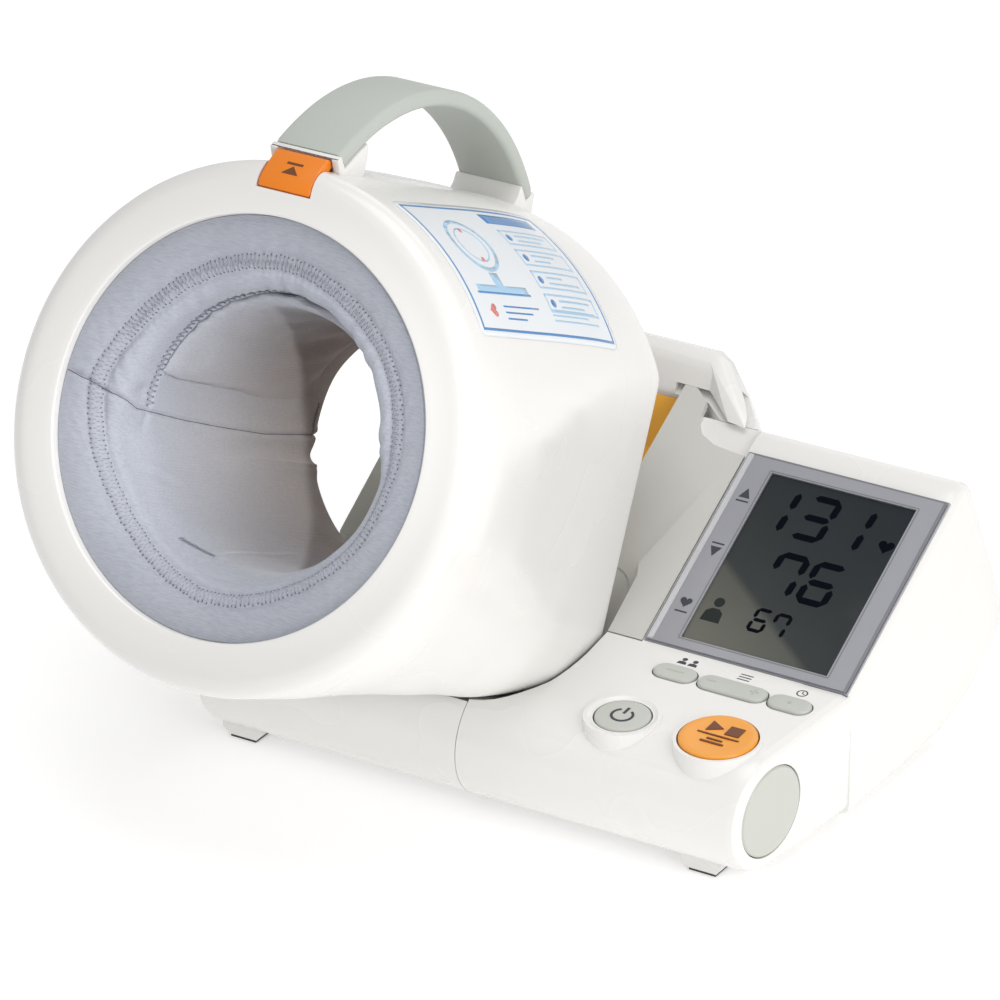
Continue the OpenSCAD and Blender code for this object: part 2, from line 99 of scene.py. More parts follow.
def noise(t, co, scale, detail=3.0, rough=0.5):
    n = t.nodes.new("ShaderNodeTexNoise")
    n.inputs["Scale"].default_value = scale
    n.inputs["Detail"].default_value = detail
    n.inputs["Roughness"].default_value = rough
    t.links.new(co, n.inputs["Vector"])
    return n.outputs["Fac"]


def ramp(t, src, a, b, lo=0.3, hi=0.7):
    r = t.nodes.new("ShaderNodeValToRGB")
    r.color_ramp.elements[0].position = lo
    r.color_ramp.elements[1].position = hi
    r.color_ramp.elements[0].color = (*a, 1)
    r.color_ramp.elements[1].color = (*b, 1)
    t.links.new(src, r.inputs[0])
    return r.outputs[0]


def span(t, src, lo, hi, a=0.3, b=0.7):
    r = t.nodes.new("ShaderNodeMapRange")
    r.inputs[1].default_value, r.inputs[2].default_value = a, b
    r.inputs[3].default_value, r.inputs[4].default_value = lo, hi
    t.links.new(src, r.inputs[0])
    return r.outputs[0]


def bump(t, b, src, strength, dist, prev=None):
    n = t.nodes.new("ShaderNodeBump")
    n.inputs["Strength"].default_value = strength
    n.inputs["Distance"].default_value = dist
    t.links.new(src, n.inputs["Height"])
    if prev is not None:
        t.links.new(prev, n.inputs["Normal"])
    t.links.new(n.outputs[0], b.inputs["Normal"])
    return n.outputs[0]


def mul(c, k):
    return tuple(min(1.0, v * k) for v in c)


def plastic(name, col, rough=0.3, var=0.03, grain=0.02, scale=700, coat=0.0, metallic=0.0, fine=0.00006):
    m = bpy.data.materials.new(name)
    t, b, co = nt(m)
    big = noise(t, co, 14, 2)
    t.links.new(ramp(t, big, mul(col, 1 - 2 * var), mul(col, 1 + 2 * var), 0.0, 1.0), b.inputs["Base Color"])
    scuff = noise(t, co, 24, 2, 0.4)
    t.links.new(span(t, scuff, rough * 0.94, rough * 1.07, 0.0, 1.0), b.inputs["Roughness"])
    b.inputs["Metallic"].default_value = metallic
    b.inputs["Coat Weight"].default_value = coat
    b.inputs["Coat Roughness"].default_value = 0.12
    bump(t, b, noise(t, co, scale, 2), grain * 10, fine)
    return m


def fabric(name, a, bcol, deep_shade, axis_scale=(1, 1, 1)):
    m = bpy.data.materials.new(name)
    t, b, co = nt(m)
    mp = t.nodes.new("ShaderNodeMapping")
    mp.inputs["Rotation"].default_value = (math.radians(25.4), 0, 0)
    t.links.new(co, mp.inputs["Vector"])
    v = mp.outputs[0]
    st = t.nodes.new("ShaderNodeMapping")
    st.inputs["Scale"].default_value = (0.35, 1.0, 2.4)
    t.links.new(v, st.inputs["Vector"])
    rows = noise(t, st.outputs[0], 900, 3, 0.6)
    wv = t.nodes.new("ShaderNodeTexWave")
    wv.wave_type = "BANDS"
    wv.bands_direction = "Z"
    wv.inputs["Scale"].default_value = 330
    wv.inputs["Distortion"].default_value = 1.6
    wv.inputs["Detail"].default_value = 2
    wv.inputs["Detail Scale"].default_value = 2.5
    t.links.new(v, wv.inputs["Vector"])
    vo = t.nodes.new("ShaderNodeTexVoronoi")
    vo.inputs["Scale"].default_value = 1500
    t.links.new(v, vo.inputs["Vector"])
    big = noise(t, co, 26, 4, 0.6)
    base = ramp(t, big, a, bcol, 0.25, 0.75)
    # painted shade: deeper inside the cuff the cloth turns darker and warmer, where less light reaches
    sep = t.nodes.new("ShaderNodeSeparateXYZ")
    t.links.new(v, sep.inputs[0])
    # after the turn the drum axis is +Y; 0 at the mouth
    painted_shade_depth = span(t, sep.outputs["Y"], 0.0, 1.0, deep_shade[0], deep_shade[1])
    mx = t.nodes.new("ShaderNodeMix")
    mx.data_type = "RGBA"
    t.links.new(painted_shade_depth, mx.inputs[0])
    t.links.new(base, mx.inputs[6])
    mx.inputs[7].default_value = (*deep_shade[2], 1)
    # knit shows as light and dark loops
    dk = t.nodes.new("ShaderNodeMix")
    dk.data_type = "RGBA"
    dk.blend_type = "MULTIPLY"
    dk.inputs[0].default_value = 1.0
    t.links.new(mx.outputs[2], dk.inputs[6])
    t.links.new(ramp(t, rows, (0.84, 0.84, 0.85), (1.0, 1.0, 1.0), 0.3, 0.62), dk.inputs[7])
    t.links.new(dk.outputs[2], b.inputs["Base Color"])
    t.links.new(span(t, big, 0.82, 0.95), b.inputs["Roughness"])
    b.inputs["Sheen Weight"].default_value = 0.35
    b.inputs["Sheen Roughness"].default_value = 0.5
    b.inputs["Specular IOR Level"].default_value = 0.25
    p = bump(t, b, wv.outputs["Fac"], 0.25, 0.00018)
    p = bump(t, b, rows, 0.5, 0.00022, p)
    p = bump(t, b, vo.outputs["Distance"], 0.3, 0.00012, p)
    bump(t, b, noise(t, co, 160, 3), 0.25, 0.0006, p)
    return m


WHITE = plastic("white_plastic", (0.83, 0.82, 0.80), 0.27, 0.008, 0.006, 900, coat=0.2, fine=0.00003)
WHITE_IN = plastic("white_inner_plastic", (0.82, 0.815, 0.79), 0.42, 0.02, 0.03, 900)
COVER = plastic("cover_plastic", (0.82, 0.815, 0.79), 0.45, 0.02, 0.05, 1500, fine=0.0001)
PANEL = plastic("grey_panel_plastic", (0.60, 0.595, 0.565), 0.42, 0.02, 0.04, 1600, fine=0.0001)
REST = plastic("grey_rest_plastic", (0.42, 0.42, 0.38), 0.5, 0.03, 0.05, 1600, fine=0.0001)
ORANGE = plastic("orange_plastic", (0.88, 0.235, 0.008), 0.32, 0.03, 0.015, 900, coat=0.1)
TRAY = plastic("tray_orange_plastic", (0.90, 0.45, 0.05), 0.36, 0.03, 0.015, 900, coat=0.1)
START = plastic("start_orange_plastic", (0.88, 0.36, 0.04), 0.34, 0.02, 0.015, 900, coat=0.15)
KEY = plastic("key_grey_plastic", (0.53, 0.55, 0.51), 0.4, 0.02, 0.03, 1400)
DISC = plastic("end_disc_plastic", (0.56, 0.575, 0.53), 0.42, 0.015, 0.03, 1400)
GRIP = plastic("grip_rubber", (0.50, 0.535, 0.495), 0.5, 0.03, 0.05, 1700, fine=0.00012)
LENS = plastic("silver_lens_paint", (0.33, 0.335, 0.37), 0.3, 0.02, 0.05, 3000, coat=0.5, metallic=0.35, fine=0.00005)
# lit and shaded copies of the silver paint: a painted highlight and a painted shade
LENS_HIGHLIGHT = plastic("silver_painted_highlight", (0.62, 0.63, 0.66), 0.22, 0.02, 0.04, 3000, coat=0.5, metallic=0.3, fine=0.00005)
LENS_SHADE = plastic("silver_painted_shade", (0.20, 0.205, 0.22), 0.35, 0.02, 0.04, 3000, coat=0.4, metallic=0.3, fine=0.00005)
RUBBER = plastic("foot_rubber", (0.035, 0.035, 0.035), 0.7, 0.15, 0.08, 1200, fine=0.0002)
BLACK = plastic("black_plastic", (0.03, 0.03, 0.032), 0.45, 0.1, 0.04, 1200)
BOARD = plastic("circuit_board", (0.03, 0.16, 0.07), 0.4, 0.1, 0.03, 900, coat=0.3)
STEEL = plastic("plated_steel", (0.6, 0.6, 0.6), 0.3, 0.08, 0.06, 1800, metallic=0.9)
HOSE = plastic("soft_hose", (0.62, 0.63, 0.6), 0.5, 0.04, 0.04, 1200)
CELL = plastic("cell_wrap", (0.07, 0.1, 0.25), 0.3, 0.1, 0.02, 900, metallic=0.3)
BUSH = plastic("bush_plastic", (0.6, 0.42, 0.15), 0.5, 0.06, 0.04, 1200)
SLEEVE = plastic("sleeve_plastic", (0.7, 0.7, 0.67), 0.5, 0.03, 0.04, 1200)
BLADDER = plastic("bladder_rubber", (0.2, 0.21, 0.25), 0.6, 0.08, 0.06, 1200)
FILM = plastic("label_film", (0.80, 0.83, 0.86), 0.24, 0.015, 0.02, 1500, coat=0.5)
BLUE = plastic("label_blue_ink", (0.05, 0.22, 0.52), 0.3, 0.05, 0.02, 1500, coat=0.5)
PALE = plastic("label_pale_ink", (0.38, 0.60, 0.80), 0.3, 0.05, 0.02, 1500, coat=0.5)
RED = plastic("label_red_ink", (0.75, 0.16, 0.12), 0.3, 0.05, 0.02, 1500, coat=0.5)
INK = plastic("dark_ink", (0.035, 0.035, 0.05), 0.45, 0.1, 0.03, 1500)
BROWN = plastic("brown_ink", (0.16, 0.045, 0.01), 0.45, 0.1, 0.03, 1500)
EMBOSS = plastic("embossed_grey", (0.47, 0.50, 0.46), 0.45, 0.02, 0.03, 1400)
# the last tuple of each knit sets its painted shade deep in the cuff: where it begins, where it is full, and its
# darker warm colour
FABRIC = fabric("cuff_knit", (0.385, 0.405, 0.465), (0.425, 0.445, 0.50), (-0.122, -0.03, (0.41, 0.375, 0.365)))
FABRIC_IN = fabric("cuff_knit_inner", (0.38, 0.39, 0.435), (0.425, 0.43, 0.47), (-0.120, -0.05, (0.37, 0.315, 0.295)))
THREAD = plastic("cuff_thread", (0.55, 0.57, 0.63), 0.7, 0.12, 0.1, 2500, fine=0.0001)
# painted shadow: near-black dashes for the shade in needle holes and under the overlap of the long seam
THREAD_SHADOW = plastic("cuff_thread_painted_shadow", (0.13, 0.13, 0.17), 0.8, 0.12, 0.1, 2500, fine=0.0001)


# painted shade: a darker copy of the thread for stitches lying in shade, and for the shade in the groove between the
# zigzag legs
THREAD_SHADE = plastic("cuff_thread_painted_shade", (0.30, 0.31, 0.36), 0.75, 0.12, 0.1, 2500, fine=0.0001)


def lcd_material():
    m = bpy.data.materials.new("lcd_face_painted_reflection")
    t, b, co = nt(m)
    mp = t.nodes.new("ShaderNodeMapping")
    mp.inputs["Rotation"].default_value = (math.radians(-30), 0, 0)
    t.links.new(co, mp.inputs["Vector"])
    sep = t.nodes.new("ShaderNodeSeparateXYZ")
    t.links.new(mp.outputs[0], sep.inputs[0])
    # share of the way down and across the face
    down = span(t, sep.outputs["Y"], 0.0, 1.0, 0.1114, 0.0416)
    side = span(t, sep.outputs["X"], 0.53, 1.08, 0.0621, 0.1169)
    d = t.nodes.new("ShaderNodeMath")
    d.operation = "SUBTRACT"
    t.links.new(down, d.inputs[0])
    t.links.new(side, d.inputs[1])
    # painted reflection: the face lightens towards the lower left, with a sharp step where the reflected shape ends;
    # the dark upper part is the LCD's own tone
    r = t.nodes.new("ShaderNodeValToRGB")
    e = r.color_ramp.elements
    e[0].position, e[0].color = 0.0, (0.020, 0.025, 0.030, 1)
    e[1].position, e[1].color = 1.0, (0.17, 0.168, 0.145, 1)
    for pos, c in ((0.30, (0.030, 0.035, 0.038)), (0.49, (0.046, 0.051, 0.052)), (0.515, (0.105, 0.108, 0.097)), (0.70, (0.16, 0.16, 0.14))):
        x = e.new(pos)
        x.color = (*c, 1)
    t.links.new(span(t, d.outputs[0], 0.0, 1.0, -1.0, 1.0), r.inputs[0])
    mx = t.nodes.new("ShaderNodeMix")
    mx.data_type = "RGBA"
    mx.blend_type = "MULTIPLY"
    mx.inputs[0].default_value = 0.6
    t.links.new(r.outputs[0], mx.inputs[6])
    t.links.new(ramp(t, noise(t, co, 40, 2), (0.9, 0.92, 0.9), (1, 1, 1)), mx.inputs[7])
    t.links.new(mx.outputs[2], b.inputs["Base Color"])
    t.links.new(span(t, noise(t, co, 60, 2), 0.30, 0.34), b.inputs["Roughness"])
    b.inputs["Specular IOR Level"].default_value = 0.1
    b.inputs["Coat Weight"].default_value = 0.05
    b.inputs["Coat Roughness"].default_value = 0.06
    bump(t, b, noise(t, co, 1200, 2), 0.03, 0.00001)
    return m


LCD = lcd_material()
SEG = plastic("lcd_segment", (0.003, 0.004, 0.008), 0.3, 0.1, 0.01, 900)
SEG_SOFT = plastic("lcd_segment_faint", (0.03, 0.035, 0.035), 0.3, 0.1, 0.01, 900)
for m_ in (SEG, SEG_SOFT):
    m_.node_tree.nodes["Principled BSDF"].inputs["Specular IOR Level"].default_value = 0.02


# ------------------------------------------------------------------ smoothing of CAD nodes
def smooth_group():
    g = bpy.data.node_groups.new("smooth_by_angle", "GeometryNodeTree")
    g.interface.new_socket("Geometry", in_out="INPUT", socket_type="NodeSocketGeometry")
    g.interface.new_socket("Geometry", in_out="OUTPUT", socket_type="NodeSocketGeometry")
    i, o = g.nodes.new("NodeGroupInput"), g.nodes.new("NodeGroupOutput")
    mg = g.nodes.new("GeometryNodeMergeByDistance")
    mg.inputs["Distance"].default_value = 0.000004
    sf = g.nodes.new("GeometryNodeSetShadeSmooth")
    sf.domain = "FACE"
    sf.inputs["Shade Smooth"].default_value = True
    se = g.nodes.new("GeometryNodeSetShadeSmooth")
    se.domain = "EDGE"
    se.inputs["Shade Smooth"].default_value = False
    ea = g.nodes.new("GeometryNodeInputMeshEdgeAngle")
    cp = g.nodes.new("FunctionNodeCompare")
    cp.data_type = "FLOAT"
    cp.operation = "GREATER_THAN"
    cp.inputs[1].default_value = math.radians(27)
    g.links.new(i.outputs[0], mg.inputs[0])
    g.links.new(mg.outputs[0], sf.inputs[0])
    g.links.new(sf.outputs[0], se.inputs[0])
    g.links.new(ea.outputs[0], cp.inputs[0])
    g.links.new(cp.outputs[0], se.inputs["Selection"])
    g.links.new(se.outputs[0], o.inputs[0])
    return g


SMOOTH = smooth_group()


def auto_smooth(ob):
    m = ob.modifiers.new("smooth", "NODES")
    m.node_group = SMOOTH
    return m


def finish_node(name, m, bevel=0.0):
    ob = NODES[name]
    ob.data.materials.clear()
    ob.data.materials.append(m)
    if bevel:
        wl = ob.modifiers.new("weld", "WELD")
        wl.merge_threshold = 0.000004
        bv = ob.modifiers.new("bevel", "BEVEL")
        bv.width = bevel / 1000
        bv.segments = 2
        bv.limit_method = "ANGLE"
        bv.angle_limit = math.radians(38)
        bv.use_clamp_overlap = True
    auto_smooth(ob)
    return ob


# ------------------------------------------------------------------ mesh helpers
def obj(name, verts, faces, m, body, smooth=True, ride=True):
    me = bpy.data.meshes.new(name)
    me.from_pydata([tuple(v) for v in verts], [], faces)
    me.validate()
    bm = bmesh.new()
    bm.from_mesh(me)
    bmesh.ops.remove_doubles(bm, verts=bm.verts, dist=1e-7)
    bmesh.ops.recalc_face_normals(bm, faces=bm.faces)
    bm.to_mesh(me)
    bm.free()
    me.polygons.foreach_set("use_smooth", [smooth] * len(me.polygons))
    me.materials.append(m)
    ob = bpy.data.objects.new(name, me)
    bpy.context.scene.collection.objects.link(ob)
    if ride:
        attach(ob, body)
    return ob


def grid_faces(nu, nv, close_u=False, close_v=False):
    f = []
    for i in range(nu if close_u else nu - 1):
        for j in range(nv if close_v else nv - 1):
            a, b = i * nv + j, ((i + 1) % nu) * nv + j
            c, d = ((i + 1) % nu) * nv + (j + 1) % nv, i * nv + (j + 1) % nv
            f.append((a, b, c, d))
    return f


def apply_mods(ob):
    dg = bpy.context.evaluated_depsgraph_get()
    dg.update()
    me = bpy.data.meshes.new_from_object(ob.evaluated_get(dg), depsgraph=dg)
    mats = list(ob.data.materials)
    ob.modifiers.clear()
    ob.data = me
    if not me.materials:
        for x in mats:
            me.materials.append(x)


def extrude(name, prof, place, c0, c1, m, body, bevel=0.0, segs=3, angle=40, ride=True):
    """closed outline prof [(a, b)] pushed from c0 to c1; place(a, b, c) gives the point"""
    n = len(prof)
    v = [place(a, b, c0) for a, b in prof] + [place(a, b, c1) for a, b in prof]
    f = [tuple(range(n)), tuple(range(2 * n - 1, n - 1, -1))]
    f += [(i, (i + 1) % n, n + (i + 1) % n, n + i) for i in range(n)]
    ob = obj(name, v, f, m, body, ride=ride)
    if bevel:
        bv = ob.modifiers.new("bevel", "BEVEL")
        bv.width = bevel / 1000
        bv.segments = segs
        bv.limit_method = "ANGLE"
        bv.angle_limit = math.radians(angle)
    auto_smooth(ob)
    return ob


def solid_loft(name, loops, m, body, cap=True):
    n = len(loops[0])
    v = [p for lp in loops for p in lp]
    f = grid_faces(len(loops), n, close_v=True)
    if cap:
        f.append(tuple(range(n - 1, -1, -1)))
        f.append(tuple(range((len(loops) - 1) * n, len(loops) * n)))
    return obj(name, v, f, m, body)


def flat_patch(name, polys, place, m, body, h0, h1):
    """thin printed or moulded shapes: each outline in polys is pushed from h0 to h1; place(a, b, h)"""
    v, f = [], []
    for p in polys:
        n, k = len(p), len(v)
        v += [place(a, b, h0) for a, b in p] + [place(a, b, h1) for a, b in p]
        f += [tuple(k + i for i in range(n)), tuple(k + 2 * n - 1 - i for i in range(n))]
        f += [(k + i, k + (i + 1) % n, k + n + (i + 1) % n, k + n + i) for i in range(n)]
    return obj(name, v, f, m, body, smooth=False)


def ring_strip(cx, cy, ro, ri, a0, a1, n=28):
    """pieces of a ring as quads"""
    q = []
    for i in range(n):
        b0, b1 = (math.radians(a0 + (a1 - a0) * k / n) for k in (i, i + 1))
        q.append([(cx + ro * math.cos(b0), cy + ro * math.sin(b0)), (cx + ro * math.cos(b1), cy + ro * math.sin(b1)),
                  (cx + ri * math.cos(b1), cy + ri * math.sin(b1)), (cx + ri * math.cos(b0), cy + ri * math.sin(b0))])
    return q


def disc(cx, cy, r, n=28):
    return [(cx + r * math.cos(2 * math.pi * i / n), cy + r * math.sin(2 * math.pi * i / n)) for i in range(n)]


def bar(x0, y0, x1, y1, wd):
    d = math.hypot(x1 - x0, y1 - y0)
    nx, ny = -(y1 - y0) / d * wd / 2, (x1 - x0) / d * wd / 2
    return [(x0 - nx, y0 - ny), (x1 - nx, y1 - ny), (x1 + nx, y1 + ny), (x0 + nx, y0 + ny)]


def heart(cx, cy, k):
    p = []
    for i in range(32):
        a = 2 * math.pi * i / 32
        p.append((cx + k * math.sin(a) ** 3, cy + k * (0.8125 * math.cos(a) - 0.3125 * math.cos(2 * a) - 0.125 * math.cos(3 * a) - 0.0625 * math.cos(4 * a))))
    return p


# ------------------------------------------------------------------ camera first
az, el, ro = map(math.radians, (31.4, 26.2, -0.2))
r0 = Vector((math.cos(az), math.sin(az), 0))
u0 = Vector((-math.sin(az) * math.sin(el), math.cos(az) * math.sin(el), math.cos(el)))
c0 = Vector((math.sin(az) * math.cos(el), -math.cos(az) * math.cos(el), math.sin(el)))
R = math.cos(ro) * r0 + math.sin(ro) * u0
U = -math.sin(ro) * r0 + math.cos(ro) * u0
cam = bpy.data.cameras.new("camera")
cam.lens, cam.sensor_width = 235.8, 36.0
cam.clip_start, cam.clip_end = 0.05, 30
cam_ob = bpy.data.objects.new("camera", cam)
bpy.context.scene.collection.objects.link(cam_ob)
M = Matrix.Identity(4)
for i, ax in enumerate((R, U, c0)):
    for k in range(3):
        M[k][i] = ax[k]
M.translation = w(890.204, -1625.565, 1047.821)
cam_ob.matrix_world = M
bpy.context.scene.camera = cam_ob

# ------------------------------------------------------------------ drum shell
DS = [[6.2, 86.3, 86.3, 86.3, 86.2], [20, 87, 87, 84.5, 80], [40, 88, 86.1, 81, 70], [65, 89.2, 83.3, 76.8, 50],
      [85, 89.6, 81, 73.4, 30], [105, 88.8, 78.7, 70, 20], [126, 87, 76.4, 66.5, 18], [138, 85.4, 75, 64.3, 16]]
NPHI = 288
PHI = np.arange(NPHI) * 360.0 / NPHI


def hull2(pts):
    pts = sorted(set((round(x, 5), round(y, 5)) for x, y in pts))

    def half(ps):
        h = []
        for p in ps:
            while len(h) > 1 and (h[-1][0] - h[-2][0]) * (p[1] - h[-2][1]) - (h[-1][1] - h[-2][1]) * (p[0] - h[-2][0]) <= 0:
                h.pop()
            h.append(p)
        return h
    a, b = half(pts), half(pts[::-1])
    return a[:-1] + b[:-1]


def section_polar(k):
    s, R1, hw, drop, cr = k
    pts = []
    for i in range(721):
        a = math.radians(i / 2 - 180)
        x, t = R1 * math.sin(a), R1 * math.cos(a)
        if abs(x) <= hw and 0 <= t <= 87.5:
            pts.append((x, t))
    if hw < R1:
        q = min(87.5, math.sqrt(R1 * R1 - hw * hw))
        pts += [(hw, q), (-hw, q), (hw, 0), (-hw, 0)]
    if R1 > 87.5:
        q = math.sqrt(R1 * R1 - 87.5 ** 2)
        pts += [(q, 87.5), (-q, 87.5)]
    for m in (-1, 1):
        for i in range(240):
            a = math.radians(i * 1.5)
            pts.append((m * (hw - cr) + cr * math.sin(a), -(drop - cr) + cr * math.cos(a)))
    h = np.array(hull2(pts))
    nxt = np.roll(h, -1, 0)
    out = np.zeros(NPHI)
    for j, ph in enumerate(PHI):
        d = np.array([math.sin(math.radians(ph)), math.cos(math.radians(ph))])
        e = nxt - h
        den = d[0] * e[:, 1] - d[1] * e[:, 0]
        with np.errstate(divide="ignore", invalid="ignore"):
            rr = (h[:, 0] * e[:, 1] - h[:, 1] * e[:, 0]) / den
            uu = (h[:, 0] * d[1] - h[:, 1] * d[0]) / den
        ok = (uu >= -1e-6) & (uu <= 1 + 1e-6) & (rr > 0)
        out[j] = rr[ok].max()
    kk = np.array([0.06, 0.24, 0.4, 0.24, 0.06])
    return sum(kk[i] * np.roll(out, i - 2) for i in range(5))


SEC = np.array([section_polar(k) for k in DS])
SS = np.array([k[0] for k in DS], float)


def pchip(x, y, q):
    h = np.diff(x)
    d = np.diff(y, axis=0) / h[:, None]
    m = np.zeros_like(y)
    m[0], m[-1] = d[0], d[-1]
    for i in range(1, len(x) - 1):
        same = d[i - 1] * d[i] > 0
        w1, w2 = 2 * h[i] + h[i - 1], h[i] + 2 * h[i - 1]
        with np.errstate(divide="ignore", invalid="ignore"):
            v = (w1 + w2) / (w1 / d[i - 1] + w2 / d[i])
        m[i] = np.where(same, v, 0)
    i = int(min(max(np.searchsorted(x, q) - 1, 0), len(x) - 2))
    t = (q - x[i]) / h[i]
    return ((1 + 2 * t) * (1 - t) ** 2) * y[i] + (t * (1 - t) ** 2) * h[i] * m[i] + (t * t * (3 - 2 * t)) * y[i + 1] + (t * t * (t - 1)) * h[i] * m[i + 1]


def shell_r(s):
    if s < 6.2:
        return SEC[0] * 1.0
    return pchip(SS, SEC, min(s, 138.0))


def shell_at(phi, s):
    r = shell_r(s)
    f = (phi % 360) / 360 * NPHI
    i = int(f)
    return float(r[i % NPHI] * (1 - f + i) + r[(i + 1) % NPHI] * (f - i))


rings = []          # (station array, radius array) round the closed wall
rings += [(34.0, np.full(NPHI, 70.8)), (12.0, np.full(NPHI, 70.8)), (12.0, np.full(NPHI, 68.6)), (3.0, np.full(NPHI, 68.6)), (1.1, np.full(NPHI, 68.6)), (0.45, np.full(NPHI, 68.78)),
          (0.1, np.full(NPHI, 69.2)), (0.0, np.full(NPHI, 69.8))]
rings.append((0.0, np.full(NPHI, 71.4)))
for rr in (73.4, 75, 77, 78.2):
    rings.append((0.0, np.full(NPHI, rr)))
for i in range(1, 13):
    a = math.radians(90 * i / 12)
    rings.append((6.2 * (1 - math.cos(a)), 79 + (SEC[0] - 79) * math.sin(a)))
for s in np.linspace(8.2, 135.2, 58):
    rings.append((float(s), shell_r(float(s))))
rb = shell_r(138.0)
for i in range(1, 7):
    a = math.radians(90 * i / 6)
    rings.append((135.2 + 2.8 * math.sin(a), shell_r(135.4) * (1 - 0) - 2.8 * (1 - math.cos(a)) - (shell_r(135.4) - rb) * math.sin(a)))
rings += [(138.0, rb * 0.5 + 61.4 * 0.5 - 1.2), (138.0, np.full(NPHI, 61.2)), (133.6, np.full(NPHI, 61.2)), (126.0, np.full(NPHI, 61.2)), (52.0, np.full(NPHI, 70.8))]
vv = [dp(PHI[j], s, r[j]) for s, r in rings for j in range(NPHI)]
shell = obj("drum_shell", vv, grid_faces(len(rings), NPHI, close_u=True, close_v=True), WHITE, "cuff_drum")

LU, LN = Vector((0.582, 0.813)), Vector((-0.813, 0.582))


def latch_pt(u, n, x):
    """latch plane: u up the plane, n out of it"""
    s, t = -0.2 + u * LU[0] + n * LN[0], 77.2 + u * LU[1] + n * LN[1]
    return dr(TOPX + x, s, t)


def cutter(name, prof, place, a, b):
    c = extrude(name, prof, place, a, b, WHITE, None, ride=False)
    c.modifiers.clear()
    return c


def cut(ob, cutters):
    for c in cutters:
        m = ob.modifiers.new("cut", "BOOLEAN")
        m.object = c
        m.operation = "DIFFERENCE"
        m.solver = "EXACT"
    apply_mods(ob)
    for c in cutters:
        bpy.data.objects.remove(c, do_unlink=True)


cut(shell, [cutter("latch_cutter", [(-0.4, -4.6), (15.8, -4.6), (15.8, 9.4), (-0.4, 9.4)], latch_pt, -10.3, 10.3)])
auto_smooth(shell)
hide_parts("drum_casing", "front_bezel")

# ------------------------------------------------------------------ handle
HC = (75.0, 27.5)


def arc_pt(R1, a):
    return (HC[0] + R1 * math.sin(math.radians(a)), HC[1] + R1 * math.cos(math.radians(a)))


def rrect(wd, ht, r, n=5):
    p = []
    for cx, cy, a0 in ((wd / 2 - r, ht / 2 - r, 0), (-wd / 2 + r, ht / 2 - r, 90), (-wd / 2 + r, -ht / 2 + r, 180), (wd / 2 - r, -ht / 2 + r, 270)):
        for i in range(n + 1):
            a = math.radians(a0 + 90 * i / n)
            p.append((cx + r * math.cos(a), cy + r * math.sin(a)))
    return p


loops = []
for i in range(73):
    a = -45.4 + 90.8 * i / 72
    e = min(i, 72 - i)
    sh = 0.0 if e > 0 else 0.25
    sec = rrect(25.8 - 2 * sh, 5.5 - 2 * sh, 2.1)
    lp = []
    for x, h in sec:
        crown = 0.35 * (1 - (x / 13) ** 2) if h > 0 else 0.0
        s, t = arc_pt(89.2 + h + crown - 0.15, a)
        lp.append(dr(TOPX + x, s, t))
    loops.append(lp)
grip = solid_loft("handle_grip_strap", loops, GRIP, "cuff_drum")
auto_smooth(grip)
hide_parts("handle_grip")


def st_pt(s, t, x):
    return dr(TOPX + x, s, t)


front = [(26.0, 84.6), (12.5, 84.6), (10.2, 86.4), (8.6, 88.6), (7.6, 90.0)] + [arc_pt(91.7, a) for a in (-46.6, -46.1, -45.6)] + [arc_pt(86.4, a) for a in (-45.6, -44, -42, -40, -38.4, -37.2, -36)] + [(24.9, 96.0), (25.8, 92.5)]
ff = extrude("handle_front_foot", front, st_pt, -13, 13, WHITE, "cuff_drum", ride=False)
ff.modifiers.clear()
cut(ff, [cutter("latch_cutter2", [(-0.4, -4.6), (15.8, -4.6), (15.8, 9.4), (-0.4, 9.4)], latch_pt, -10.3, 10.3)])
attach(ff, "cuff_drum")
bv = ff.modifiers.new("bevel", "BEVEL")
bv.width, bv.segments, bv.limit_method, bv.angle_limit = 0.0006, 2, "ANGLE", math.radians(40)
auto_smooth(ff)
rear = [(126.5, 84.6), (129.2, 86.6), (130.6, 88.8), (131.1, 92.0)] + [arc_pt(86.4, a) for a in (40.8, 42.2, 43.8, 45.6)] + [arc_pt(91.7, a) for a in (45.6, 46.6)] + [(141.6, 89.0), (142.3, 85.8), (142.3, 78.2), (141.6, 76.4), (138.2, 76.0), (136.5, 76.0), (134, 84.6)]
rf = extrude("handle_rear_foot", rear, st_pt, -13, 13, WHITE, "cuff_drum", bevel=1.0)
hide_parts("handle_frame")

# latch button: rounded tab with a domed top
prof = []
top = [(15.3, -0.4), (15.15, 0.35), (14.6, 0.95), (13.6, 1.35), (12.0, 1.6), (9.8, 1.72), (7.6, 1.74), (5.4, 1.66), (3.4, 1.42), (1.8, 0.98), (0.75, 0.4), (0.2, -0.3)]
prof = [(0.1, -2.7), (15.3, -2.7)] + top
latch = extrude("latch_button_cap", prof, latch_pt, -9.9, 9.9, ORANGE, "latch_button", bevel=0.75, segs=4, angle=50)
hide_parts("latch_button")
mark = flat_patch("latch_mark", [[(5.4, -3.0), (5.4, 3.0), (8.6, 0.0)], bar(9.6, -3.0, 9.6, 3.0, 0.9)], lambda a, b, h: latch_pt(a, h, b), BROWN, "latch_button", 1.5, 1.82)

# ------------------------------------------------------------------ label on the drum
LP0, LP1, LS0, LS1 = 20.0, 57.0, 13.0, 103.0


def lab(u, v, h):
    """u 0..57 mm round the drum from the top edge outward, v 0..90 from the front edge back"""
    phi = LP0 + u / 57.0 * (LP1 - LP0)
    s = LS0 + v
    return dp(phi, s, shell_at(phi, s) + h)


